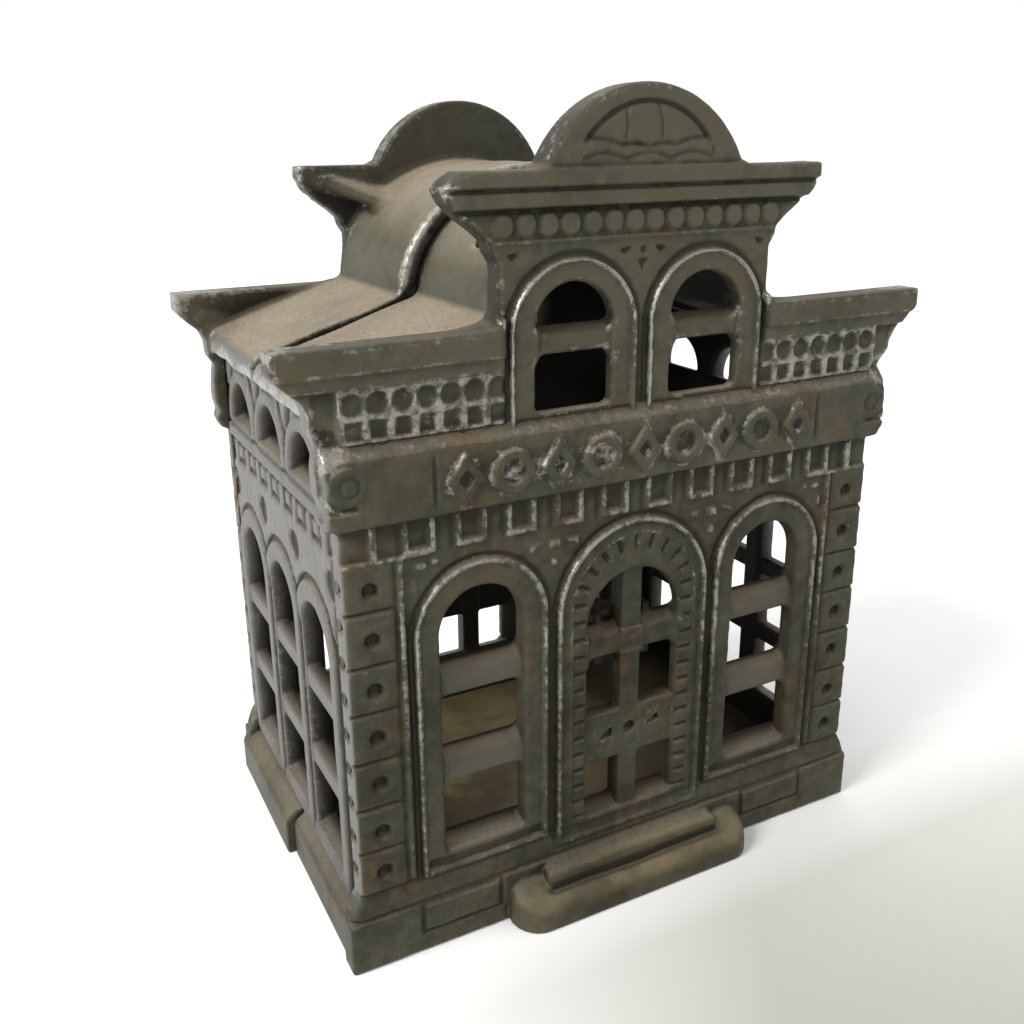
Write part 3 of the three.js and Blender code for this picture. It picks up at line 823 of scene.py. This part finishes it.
def cast_half(kind):
    """Front or rear half of the building, with its facade at y = 0."""
    front = kind == "front"
    y_end = MID - GAP if front else MID
    start, spans = -2.4, [(0.6, 0.2), (SLAB + 0.6, 0.3), (MID - 4, 0.9), (MID + 1.2, 0.3)]
    if front:
        start, spans = -6.2, [(-2.4, 0.35), *spans, (MID + LAP + 0.9, 0.35)]
    reach = SHOULDER_TIP + 0.8
    xs = np.arange(-reach, reach + CELL, CELL)
    zs = np.arange(-0.8, TOP + 0.8 + CELL, CELL)
    casting = Casting(xs, grid_lines(start, *spans), zs)
    relief = add_facade(casting, chipped=front)
    roof = ROOFS[kind]
    add_roof(casting, roof, y_end)
    add_cornice_ribs(casting, roof)
    add_base(casting, kind, y_end)
    floor_end = y_end if front else MID - LAP - GAP
    casting.add_block((-FLOOR_HALF, 1.5, FLOOR[0]), (FLOOR_HALF, floor_end, FLOOR[1]), 0.3, 0.5)
    if front:
        add_steps(casting)
        add_lap(casting)
        add_nut_socket(casting)
        half, low_y, high_y = SLOT["half"], SLOT["y"] - SLOT["width"] / 2, SLOT["y"] + SLOT["width"] / 2
        casting.cut(
            (-half, low_y, 84), (half, high_y, TOP),
            lambda x, y, z: rectangle(x, y, -half, half, low_y, high_y, 1.0) + 0 * z, 0.7)
    else:
        casting.add_block(
            (-FLOOR_HALF, MID - LAP - 1.3, 0.6), (FLOOR_HALF, MID, FLOOR[1] - LAP_PLATE - GAP), 0.2, 0.2)
        casting.add(
            (-6, -0.6, SCREW_Z - 6), (6, SLAB, SCREW_Z + 6),
            lambda x, y, z: overlap(
                disc(x, z, 0, SCREW_Z, BOSS_RADIUS), np.maximum(-0.6 - y, y - SLAB), 0.4), 0.4)
        casting.cut(
            (-3, -3, SCREW_Z - 3), (3, 9, SCREW_Z + 3),
            lambda x, y, z: disc(x, z, 0, SCREW_Z, SCREW_HOLE) + 0 * y, 0.3)
    wall_grooves(casting)
    casting.field = np.maximum(casting.field, 0.01 - casting.axes[2])
    return casting, relief


# ---- side walls -----------------------------------------------------------------

SIDE_CENTRES = [MID - 15, MID, MID + 15]
SIDE_WINDOW = dict(half=5.7, low=10.7, springing=41.0)
LUNETTE = dict(half=5.5, low=62.6, springing=63.5)
SIDE_BARS = ((20.7, 23.6), (32.5, 35.4))


def side_relief(y, z):
    """Relief of a side wall: arch rims, dots, dentils, fascia and lunettes."""
    relief = Relief(y, z)
    relief.height += 0.05 * waves(y, z, 8, 21)
    for centre in SIDE_CENTRES:
        edge = arch(y, z, centre, 7.9, 9.0, 41.6)
        relief.groove(edge - 0.55, 1.3, 0.6)
        relief.lift(edge, 0.35)
        relief.groove(arch(y, z, centre, 8.3, 9.0, 41.6) - 0.3, 0.5, 0.1)
    for place in (-1.5, -0.5, 0.5, 1.5):
        relief.add(relief.disc(MID + 15.2 * place, 52.2, 2.0), -0.6, ramp=0.35)
    for i in range(9):
        centre = MID + 6.05 * (i - 4)
        outer = relief.box(centre - 2.1, centre + 2.1, 56.0, 59.6)
        inner = relief.box(centre - 1.1, centre + 1.1, 57.1, 59.1)
        relief.add(np.maximum(outer, -inner), -0.5, ramp=0.25)
    relief.groove(z - 59.5, 0.7, 0.45)
    relief.lift(relief.box(-99, 99, 59.9, 61.8), 0.4)
    relief.groove(z - 62.2, 0.7, 0.4)
    for centre in SIDE_CENTRES:
        relief.lift(arch(y, z, centre, 7.2, 62.4, 63.5), 0.35)
    for place in (-1.5, -0.5, 0.5, 1.5):
        centre = MID + 15 * place
        wedge = polygon(y, z, [
            (centre - 3.9, 72.0), (centre + 3.9, 72.0), (centre + 0.7, 64.2), (centre - 0.7, 64.2)])
        heart = polygon(y, z, [(centre - 1.6, 71.4), (centre + 1.6, 71.4), (centre, 67.4)])
        rims = np.minimum(*[disc(y, z, centre + s, 63.5, 7.3) for s in (-7.5, 7.5)])
        relief.add(np.maximum(np.maximum(wedge, -rims), -heart), -0.55, ramp=0.25)
    relief.height += 0.03 * waves(y, z, 2.0, 23)
    return relief


def cast_wall():
    """Left side wall, its relief looking along -X."""
    start, end = wall_low.y - FIELD, wall_high.y - FIELD
    bottom, top = wall_low.z, wall_high.z
    lines = grid_lines(-PLATE_OUT - 0.9, (-PLATE_OUT + 0.9, 0.2), (-PLATE_IN + 0.7, 0.3))
    casting = Casting(
        lines, np.arange(start - 0.8, end + 0.8, CELL), np.arange(bottom - 0.8, top + 0.8, CELL))
    x, y, z = np.ix_(*casting.axes)
    relief = side_relief(y[0], z[0])
    tongue = 0.7
    outline = rectangle(y, z, start + tongue, end - tongue, bottom, top)
    windows = [dict(shape, centre=centre) for centre in SIDE_CENTRES for shape in (SIDE_WINDOW, LUNETTE)]
    openings = np.min([arch(y, z, **window) for window in windows], axis=0).astype(float)
    body = overlap(-(x + PLATE_OUT) - np.minimum(relief.height - 0.35, 0), x + PLATE_IN, 0.4)
    body = overlap(overlap(body, outline, 0.5), -openings, 0.7)
    middle = -(PLATE_OUT + PLATE_IN) / 2
    edge = np.maximum(rectangle(y, z, start, end, bottom, top), MID - start - 2 - np.abs(y - MID))
    casting.field[:] = join(body, np.maximum(np.abs(x - middle) - 0.8, edge), 0)
    half = SIDE_WINDOW["half"] + 0.6
    for centre in SIDE_CENTRES:
        for low, high in SIDE_BARS:
            corners = (middle - 1.15, centre - half, low), (middle + 1.1, centre + half, high)
            casting.add_block(*corners, 0.5, 0.5)
    for window in windows:
        centre, half, low = window["centre"], window["half"] + 0.4, window["low"]

        def sill(x, y, z):
            slope = (z - low - 0.3 * (x + PLATE_OUT)) * 0.95
            body = np.maximum(np.abs(y - centre) - half, np.abs(x - middle) - 1.55)
            return overlap(np.maximum(slope, low - 2 - z), body, 0.3)
        corners = (-PLATE_OUT, centre - half, low - 2), (-PLATE_IN, centre + half, low + 1)
        casting.add(*corners, sill, 0.4)
    return casting, relief


# ---- fasteners ------------------------------------------------------------------

def thread_radius(x, y, z, crest):
    """Radius of a right-handed thread of a crest radius around the screw's axis."""
    turn = np.arctan2(x, z - SCREW_Z) / (2 * math.pi) - y / PITCH
    return crest - THREAD_DEPTH * (0.5 - 0.5 * np.cos(2 * math.pi * turn))


def cast_fastener(node, shape):
    """Casts a fastener on a fine grid around its box."""
    step = 0.14
    low, high = (corner / MM - Vector((0, FIELD, 0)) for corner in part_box(node))
    casting = Casting(*(np.arange(a - 0.6, b + 0.6, step) for a, b in zip(low, high)))
    x, y, z = np.ix_(*casting.axes)
    casting.field = shape(x, y, z, length(x, z - SCREW_Z), low.y, high.y).astype(np.float32)
    return casting


def screw(x, y, z, away, start, end):
    """Round-headed slotted screw, threaded at its front end."""
    seat = end - HEAD["height"]
    threaded = rise(THREAD_END - y, 0, 1.5)
    outer = thread_radius(x, y, z, SHANK_RADIUS) * threaded + SHANK_RADIUS * (1 - threaded)
    tip = (away - SHANK_RADIUS + 0.7 - (y - start)) * 0.7
    shank = overlap(np.maximum(away - outer, tip), np.maximum(start - y, y - seat - 1), 0.15)
    dome = np.maximum(y - seat - HEAD["rim"], 0) / (end - seat - HEAD["rim"])
    head = overlap((length(away / HEAD["radius"], dome) - 1) * 1.4, seat - y, 0.3)
    burr = 0.1 * waves(x + y, z, 1.7, 51)
    groove = np.maximum(np.abs(z - SCREW_Z) - HEAD["slot"] - burr, seat + HEAD["slot_low"] - y)
    return join(shank, overlap(head, -groove, 0.25), 0.2)


def washer(x, y, z, away, start, end):
    """Flat washer with rounded edges, a little dished."""
    radius = washer_high.x
    flat = overlap(start - y, y - end + 0.12 * rise(away, 2.4, radius), 0.3)
    ring = overlap(away - radius + 0.05 * waves(x, z, 3, 53), WASHER_HOLE - away, 0.3)
    return overlap(ring, flat, 0.35)


def nut(x, y, z, away, start, end):
    """Square nut with chamfered corners and a tapped hole."""
    half = nut_high.x
    square = rectangle(x, z, -half, half, SCREW_Z - half, SCREW_Z + half, 0.4)
    body = overlap(square, np.maximum(start - y, y - end), 0.3)
    body = overlap(body, (away - half - 0.5 - (end - y)) * 0.75, 0.3)
    return overlap(body, thread_radius(x, y, z, SHANK_RADIUS + 0.22) - away, 0.12)


# ---- meshes ---------------------------------------------------------------------

def mesh_object(name, vertices, faces):
    mesh = bpy.data.meshes.new(name)
    mesh.vertices.add(len(vertices))
    mesh.vertices.foreach_set("co", np.asarray(vertices, np.float32).ravel())
    count = faces.shape[1]
    mesh.loops.add(faces.size)
    mesh.loops.foreach_set("vertex_index", faces.astype(np.int32).ravel())
    mesh.polygons.add(len(faces))
    mesh.polygons.foreach_set("loop_start", np.arange(0, faces.size, count, dtype=np.int32))
    mesh.update(calc_edges=True)
    return linked(name, mesh)


def linked(name, data):
    obj = bpy.data.objects.new(name, data)
    bpy.context.scene.collection.objects.link(obj)
    return obj


def thinned(obj, most):
    """The object with no more than a number of triangles."""
    triangles = 2 * len(obj.data.polygons)
    if triangles > most:
        modifier = obj.modifiers.new("thin", "DECIMATE")
        modifier.ratio = most / triangles
        depsgraph = bpy.context.evaluated_depsgraph_get()
        thin = bpy.data.meshes.new_from_object(obj.evaluated_get(depsgraph))
        obj.modifiers.clear()
        obj.data = thin
    return obj


def points_of(mesh):
    points = np.empty(len(mesh.vertices) * 3, np.float32)
    mesh.vertices.foreach_get("co", points)
    return points.reshape(-1, 3).astype(float)


def mark(casting, mesh, relief, facade, rim):
    """Writes on the mesh how worn, stained, hollow and deep inside each point is, and where shade is painted."""
    points = points_of(mesh)
    normals = casting.normals(points)
    (x, y, z), (nx, ny, nz) = points.T, normals.T
    reach, room = 0.9, 1.2
    edge = np.clip((casting.sample(points - normals * reach) + reach) / reach, 0, 1)
    # hollows: dirt, and painted shade where little light reaches into them
    hollow = np.clip(1 - casting.sample(points + normals * room) / room, 0, 1)
    nothing = np.zeros(len(points))
    values = dict(edge=edge, hollow=hollow, worn=nothing, deep=nothing, tan=nothing)
    values.update(shaded=nothing, handled=nothing, dusty=nothing + 1)
    if relief is not None:
        side = np.abs(x)
        plane = (0, 2) if facade else (1, 2)
        flat_axes = [casting.axes[k] for k in plane]
        depth, towards = (y, -ny) if facade else (x + PLATE_OUT, -nx)
        on_face = rise(-depth, -1.8, -1.3) * rise(np.clip(towards, 0, 1), 0.05, 0.4)
        local = relief.height - smooth_map(relief.height, 1.1 / CELL)
        sunk = -between(local, flat_axes, points[:, plane]) / (0.3 if facade else 0.13)
        hollow = np.maximum(hollow, np.clip(sunk, 0, 1) * on_face)
        edge *= 1 - 0.85 * rise(z, 85, 87) * rise(y, 3.8, 4.4) * rise(20 - y, 0, 2)

        # the inside, painted dark as shade but for the foot of its walls, and the corners people hold
        outward = nx * np.sign(x)
        above = rise(z, 70, 75) * rise(np.maximum(nz, outward), 0.1, 0.4)
        deep = rise(depth - (0.8 if facade else 0.5), 0, 2.0) * rise(WALL_HALF - 0.5 - side, 0, 1)
        deep *= (1 - above) * (z < TOP - 12) * (side < PLATE_OUT)
        aside = rise(side, 17, 25)
        # painted shade over the inside: above the foot of its walls, and down to the floor beside the door
        painted_inside_shade = 0.92 * rise(deep, 0.6, 1) * np.maximum(rise(z, 8, 15), aside)
        corners = rise(outward, 0.6, 0.9) * rise(side, WALL_HALF - 0.9, WALL_HALF - 0.4) * rise(z, 10, 12)

        # steps, window bars, the tower's darker flanks, and painted shade on the back of the pediment
        steps = facade * rise(-y, 0.9, 1.3) * rise(7.6 - z, 0, 0.2)
        lower_step = steps * rise(5.6 - z, 0, 0.5)
        nosing = steps * rise(np.minimum(-ny, nz), 0.3, 0.6)
        # painted shadow: the lower tread along the foot of the upper riser, under its nose, is darkened as a hollow
        riser_foot_shadow = lower_step * rise(0.55 - np.abs(y + UPPER_REACH + 0.2), 0, 0.4)
        in_window = facade * rise(5.6 - np.abs(side - LOWER_WINDOW["centre"]), 0, 0.4) * rise(z, 13, 14)
        bars = in_window * rise(SLAB - 0.3 - depth, 0, 0.4) * (z < 44)
        tower = facade * rise(SLAB + 0.3 - y, 0, 0.3) * rise(z, 74, 78)
        flank = 0.7 * tower * rise(np.abs(nx), 0.3, 0.8)
        # painted shade: the back of the pediment, above the roof, is darkened through the shaded map
        back = 0.45 * rise(ny, 0.4, 0.8) * rise(z, 84, 88) * rise(6 - y, 0, 2)

        # wear: the relief, the roof's rim at the seam, the cornices' tips and the outline's rims; the tips and rims are
        # also painted bright as highlights
        tips = rise(side, 44.6, 45.8) + rise(side, 25, 26) * rise(z, 95, 96)
        rims = rise(z, 98.5, 100) * rise(1 - np.abs(ny), 0.4, 0.8)
        wear = [
            between(relief.wear, flat_axes, points[:, plane]) * on_face,
            0.58 * rise(y, rim - 1.6, rim - 0.9) * rise(z, 82, 84),
            0.15 * nosing, (1.0 if rim < FAR_RIM else 0.35) * np.maximum(0.6 * tips, 0.5 * rims)]
        foot = 0.6 * deep * rise(-z, -13, -7) * (1 - aside)
        values.update(
            worn=largest(*wear), deep=deep, dusty=1 - 0.85 * tower - 0.4 * lower_step,
            hollow=np.maximum(hollow, riser_foot_shadow * rise(15 - side, 0, 0.5)),
            tan=largest(foot, 0.05 * steps + 0.13 * nosing, 0.045 * bars),
            shaded=largest(flank, back, painted_inside_shade), handled=np.maximum(corners, 0.4 * bars))
    for name, value in values.items():
        mesh.attributes.new(name, "FLOAT", "POINT").data.foreach_set("value", value.astype(np.float32))


def largest(*maps):
    return np.clip(np.max(maps, axis=0), 0, 1)


def smooth_map(field, sigma):
    """Gaussian blur of a flat map; sigma in cells."""
    reach = int(3 * sigma)
    weights = np.exp(-0.5 * (np.arange(-reach, reach + 1) / sigma) ** 2)
    weights /= weights.sum()
    result = field
    for axis in (0, 1):
        padded = np.pad(result, [(reach, reach) if k == axis else (0, 0) for k in (0, 1)], "edge")
        size = result.shape[axis]
        total = 0
        for i, weight in enumerate(weights):
            total = total + weight * np.take(padded, np.arange(i, i + size), axis)
        result = total
    return result


def weighted_normals(mesh):
    """Shading normals led by the large faces, so that flat fields look flat."""
    mesh.calc_loop_triangles()
    corners = np.empty(len(mesh.loop_triangles) * 3, np.int32)
    mesh.loop_triangles.foreach_get("vertices", corners)
    corners = corners.reshape(-1, 3)
    points = points_of(mesh)
    a, b, c = (points[corners[:, k]] for k in range(3))
    area = np.cross(b - a, c - a)
    total = np.zeros_like(points)
    for k in range(3):
        for axis in range(3):
            total[:, axis] += np.bincount(corners[:, k], area[:, axis], len(points))
    total /= np.maximum(np.linalg.norm(total, axis=1, keepdims=True), 1e-12)
    mesh.polygons.foreach_set("use_smooth", np.ones(len(mesh.polygons), bool))
    mesh.normals_split_custom_set_from_vertices(total.tolist())


def iron_piece(name, casting, relief, facade, most, turned=False, mirrored=False, rim=FAR_RIM):
    """Skins a casting, marks it and puts it in its place in the frame."""
    vertices, quads = casting.skin()
    obj = thinned(mesh_object(name, vertices, quads), most)
    mesh = obj.data
    mark(casting, mesh, relief, facade, rim)
    points = points_of(mesh)
    if turned:
        points[:, 0] *= -1
        points[:, 1] = DEPTH - points[:, 1]
    if mirrored:
        points[:, 0] *= -1
        mesh.flip_normals()
    points[:, 1] += FIELD
    mesh.vertices.foreach_set("co", (points * MM).astype(np.float32).ravel())
    mesh.update()
    weighted_normals(mesh)
    print(f"{name}: {len(mesh.polygons)} faces")
    return obj


# ---- materials ------------------------------------------------------------------

class Nodes:
    """Small helper that adds shader nodes and joins them."""

    def __init__(self, name):
        self.material = bpy.data.materials.new(name)
        self.material.use_nodes = True
        self.tree = self.material.node_tree
        self.shader = self.tree.nodes["Principled BSDF"]
        self.place = self.add("ShaderNodeTexCoord").outputs["Object"]

    def add(self, kind, **settings):
        node = self.tree.nodes.new(kind)
        for key, value in settings.items():
            setattr(node, key, value)
        return node

    def link(self, source, target):
        if hasattr(source, "is_output"):
            self.tree.links.new(source, target)
        else:
            target.default_value = source

    def put(self, node, sockets, values):
        for socket, value in zip(sockets, values):
            self.link(value, node.inputs[socket])
        return node

    def noise(self, per_mm, detail=3.0, rough=0.55, distortion=0.0):
        sockets = ("Vector", "Scale", "Detail", "Roughness", "Distortion")
        node = self.add("ShaderNodeTexNoise")
        return self.put(node, sockets, (self.place, per_mm / MM, detail, rough, distortion)).outputs["Fac"]

    def range(self, value, low, high, to_low=0.0, to_high=1.0):
        sockets = ("Value", "From Min", "From Max", "To Min", "To Max")
        node = self.add("ShaderNodeMapRange", clamp=True)
        return self.put(node, sockets, (value, low, high, to_low, to_high)).outputs["Result"]

    def math(self, operation, first, *others):
        for other in others:
            node = self.add("ShaderNodeMath", operation=operation)
            self.link(first, node.inputs[0])
            self.link(other, node.inputs[1])
            first = node.outputs[0]
        return first

    def times(self, *factors):
        return self.math("MULTIPLY", *factors)

    def plus(self, *terms):
        return self.math("ADD", *terms)

    def largest(self, *values):
        return self.math("MAXIMUM", *values)

    def rest(self, value):
        """What is left of 1."""
        return self.math("SUBTRACT", 1.0, value)

    def mix(self, share, a, b):
        node = self.add("ShaderNodeMix", data_type="RGBA")
        self.link(share, node.inputs["Factor"])
        self.link(a if hasattr(a, "is_output") else (*a, 1), node.inputs["A"])
        self.link(b if hasattr(b, "is_output") else (*b, 1), node.inputs["B"])
        return node.outputs["Result"]

    def value(self, name):
        return self.add("ShaderNodeAttribute", attribute_name=name).outputs["Fac"]

    def split(self, vector):
        node = self.add("ShaderNodeSeparateXYZ")
        self.link(vector, node.inputs[0])
        return [node.outputs[axis] for axis in "XYZ"]

    def bump(self, height, distance_mm, strength):
        node = self.add("ShaderNodeBump")
        self.put(node, ("Height", "Distance", "Strength"), (height, distance_mm * MM, strength))
        self.link(node.outputs["Normal"], self.shader.inputs["Normal"])


RUBBED = (0.31, 0.30, 0.27)
HANDLED = (0.115, 0.112, 0.104)
RUST = (0.092, 0.045, 0.018)
STAIN = (0.45, 0.34, 0.145)
DUST = (0.26, 0.215, 0.155)
SHADED = (0.009, 0.008, 0.006)
HOLLOW_DIRT_AND_SHADE = (0.014, 0.012, 0.007)


def iron_material(name, dark, light, rust_share, dust_share, bare):
    """Old bare iron: olive patina, silver where it is rubbed, rust, dust on top, and painted light and shade."""
    n = Nodes(name)
    large = n.noise(0.07, 3, 0.6, 0.3)
    middle = n.noise(0.45, 4, 0.62)
    patches = n.noise(0.3, 3, 0.6)
    fine = n.noise(1.9, 3, 0.65)
    grain = n.noise(5.0, 2, 0.6)
    flakes = n.noise(1.0, 3, 0.62)
    x, y, level = n.split(n.place)
    up = n.split(n.add("ShaderNodeNewGeometry").outputs["Normal"])[2]
    deep = n.value("deep")

    # patina, with painted light: darker towards the bottom and lighter towards the top, where light falls from above
    tone = n.plus(n.times(large, 0.6), n.times(middle, 0.4), n.range(level, 0.03, 0.105, -0.04, 0.16))
    colour = n.mix(n.range(tone, 0.36, 0.64), dark, light)
    colour = n.mix(n.value("handled"), colour, HANDLED)

    # rust in patches and on the jambs, where the outside turns into the inside
    rust = n.times(n.range(n.noise(0.11, 4, 0.7, 0.6), 0.5, 0.66), n.range(middle, 0.4, 0.6))
    jamb = n.times(deep, n.rest(deep), n.range(middle, 0.35, 0.6, 0.8, 3.6))
    colour = n.mix(n.times(n.largest(rust, jamb), rust_share), colour, RUST)

    # the inside painted dark as shade, the stained floor in it, and hollows darkened with dirt and painted shade
    # the middle of the inside floor, from about x -16 to +4 mm, is kept out of the painted shade; the shade comes back
    # to its left, and in part to its right
    floor = n.times(
        n.range(up, 0.9, 0.98), n.range(level, 0.0044, 0.006, 1.0, 0.0), deep,
        n.range(x, -0.028, -0.016), n.range(x, 0.004, 0.020, 1.0, 0.3))
    off_floor = n.rest(floor)
    hollow = n.times(n.value("hollow"), off_floor)
    shaded = n.times(n.value("shaded"), off_floor)
    colour = n.mix(shaded, colour, SHADED)
    # painted shade: the floor's stain fades towards the front wall, whose shadow falls there
    tan = n.largest(n.value("tan"), n.times(floor, n.range(y, -0.018, 0.0, 0.2, 0.46)))
    colour = n.mix(n.times(tan, n.range(large, 0.42, 0.56, 0.35, 1.0)), colour, STAIN)
    # dirt and painted shade in the hollows
    colour = n.mix(n.range(hollow, 0.1, 0.9, 0.0, 0.8), colour, HOLLOW_DIRT_AND_SHADE)

    dust = n.times(
        n.range(up, 0.45, 0.95), n.range(fine, 0.32, 0.58, 0.62, 1.0),
        n.range(large, 0.35, 0.6, dust_share * 0.75, dust_share), n.range(level, 0.05, 0.075, 0.45, 1.0),
        n.range(deep, 0.0, 1.0, 1.0, 0.45), n.value("dusty"), n.range(shaded, 0.0, 0.9, 1.0, 0.15))
    colour = n.mix(dust, colour, DUST)

    # bare metal in flakes where the relief and the edges are rubbed, and loose specks of it
    # edges: worn bare metal, brighter higher up, partly painted highlights
    edges = n.times(n.range(n.value("edge"), 0.2, 0.75), n.range(level, 0.064, 0.078, 0.35, 1.1))
    rubbed = n.plus(n.times(n.value("worn"), n.range(patches, 0.36, 0.56, 0.4, 1.0)), edges)
    speckle = n.plus(n.times(flakes, 0.75), n.times(grain, 0.3))
    rubbed = n.range(n.math("SUBTRACT", rubbed, n.range(speckle, 0.4, 0.68, 0.05, 0.8)), 0.0, 0.6)
    loose = n.range(n.plus(n.times(middle, 0.5), n.times(fine, 0.5)), 0.5, 0.75, 0.0, bare)
    rubbed = n.largest(rubbed, n.times(loose, n.range(hollow, 0.0, 0.5, 1.0, 0.0)))
    rubbed = n.times(rubbed, n.range(deep, 0.0, 1.0, 0.8, 0.2))
    colour = n.mix(rubbed, colour, RUBBED)

    n.shader.inputs["Specular IOR Level"].default_value = 0.25
    metallic = n.times(n.rest(dust), n.range(rubbed, 0.0, 0.8, 0.3, 0.75))
    roughness = n.plus(n.range(rubbed, 0.0, 0.8, 0.52, 0.34), n.times(dust, 0.4))
    n.put(n.shader, ("Base Color", "Metallic", "Roughness"), (colour, metallic, roughness))
    n.bump(n.plus(n.times(fine, 0.6), n.times(grain, 0.4)), 0.14, 0.8)
    return n.material


def floor_material():
    """White paper with a painted soft shadow, which greys it a little towards the front right."""
    n = Nodes("pale_floor_painted_shadow")
    x, y, _ = n.split(n.place)
    depth = n.plus(n.times(x, 0.447), n.times(y, 0.894))
    across = n.math("SUBTRACT", n.times(x, 0.894), n.times(y, 0.447))
    painted_shadow = n.times(
        n.range(depth, -0.05, 0.09, 1.0, 0.0), n.range(across, -0.042, 0.028),
        n.range(y, -0.040, -0.018, 1.0, 0.0))
    colour = n.mix(painted_shadow, (0.96, 0.96, 0.95), (0.425, 0.42, 0.38))
    far = n.range(n.plus(n.times(x, x), n.times(y, y)), 0.01, 0.09)
    n.link(n.mix(far, colour, (0.99, 0.99, 0.98)), n.shader.inputs["Base Color"])
    n.shader.inputs["Roughness"].default_value = 1.0
    n.shader.inputs["Specular IOR Level"].default_value = 0.1
    return n.material


# ---- camera, lights and floor ---------------------------------------------------

def place_camera():
    azimuth, elevation, roll = math.radians(26.566), math.radians(17.673), math.radians(-0.9)
    distance, aim = 155.19 * MM, Vector((-5.938, 3.094, 54.351)) * MM
    way = Vector((
        math.sin(azimuth) * math.cos(elevation), math.cos(azimuth) * math.cos(elevation),
        -math.sin(elevation)))
    data = bpy.data.cameras.new("camera")
    data.lens, data.sensor_width = 35.924, 36.0
    data.shift_x, data.shift_y = 0.01938, -0.04168
    data.clip_start, data.clip_end = 0.01, 20
    camera = linked("camera", data)
    camera.location = aim - way * distance
    turn = way.to_track_quat("-Z", "Y").to_matrix()
    camera.rotation_euler = (turn @ Matrix.Rotation(roll, 3, "Z")).to_euler()
    bpy.context.scene.camera = camera


def key_light():
    """Large soft lamp to the left of the bank, aimed at its middle."""
    place, aim = Vector((-0.80, -0.10, 0.66)), Vector((0, 0, 0.05))
    data = bpy.data.lights.new("key", "AREA")
    data.shape, data.size, data.energy = "DISK", 0.5, 11
    lamp = linked("key", data)
    lamp.location = place
    lamp.rotation_euler = (aim - place).to_track_quat("-Z", "Y").to_euler()


def light_scene():
    world = bpy.data.worlds.new("studio")
    bpy.context.scene.world = world
    world.use_nodes = True
    sky = world.node_tree.nodes["Background"].inputs
    sky["Color"].default_value = (1, 1, 0.99, 1)
    sky["Strength"].default_value = 1.02
    bpy.context.scene.view_settings.view_transform = "Standard"


def make_floor():
    reach = 6.0
    mesh = bpy.data.meshes.new("floor")
    corners = [(-reach, -reach, 0), (reach, -reach, 0), (reach, reach, 0), (-reach, reach, 0)]
    mesh.from_pydata(corners, [], [(0, 1, 2, 3)])
    floor = linked("floor", mesh)
    floor.data.materials.append(floor_material())


def settle(piece, material, body, node):
    """Gives a piece its material and body, and hides the node it replaces."""
    piece.data.materials.append(material)
    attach(piece, body)
    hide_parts(node)


place_camera()
light_scene()
key_light()
make_floor()

IRON = iron_material("iron_facades", (0.029, 0.028, 0.0165), (0.069, 0.067, 0.043), 0.6, 0.95, 0.08)
# the side walls get a paler copy of the iron: partly their own paler patina, partly painted light, as the side faces
# the lamp
PALE_LIT_WALL_IRON = iron_material("iron_side_walls_pale_and_lit", (0.07, 0.068, 0.060), (0.13, 0.127, 0.118), 0.5, 0.8, 0.35)
STEEL = iron_material("screw_steel", (0.05, 0.042, 0.034), (0.11, 0.085, 0.065), 1.0, 0.3, 0.2)

for kind, turned, rim in (("front", False, FAR_RIM), ("rear", True, MID)):
    half, half_relief = cast_half(kind)
    piece = iron_piece(f"{kind}_half_iron", half, half_relief, True, MOST_TRIANGLES, turned=turned, rim=rim)
    settle(piece, IRON, f"{kind}_half", f"{kind}_casting")

wall, wall_relief = cast_wall()
for side in ("left", "right"):
    piece = iron_piece(f"{side}_wall_iron", wall, wall_relief, False, 60_000, mirrored=side == "right")
    settle(piece, PALE_LIT_WALL_IRON, "front_half", f"{side}_side_wall")

for node, shape, body in (
        ("tie_screw", screw, "screw"), ("screw_washer", washer, "washer"), ("square_nut", nut, "front_half")):
    piece = iron_piece(f"{node}_steel", cast_fastener(node, shape), None, True, 40_000)
    settle(piece, STEEL, body, node)
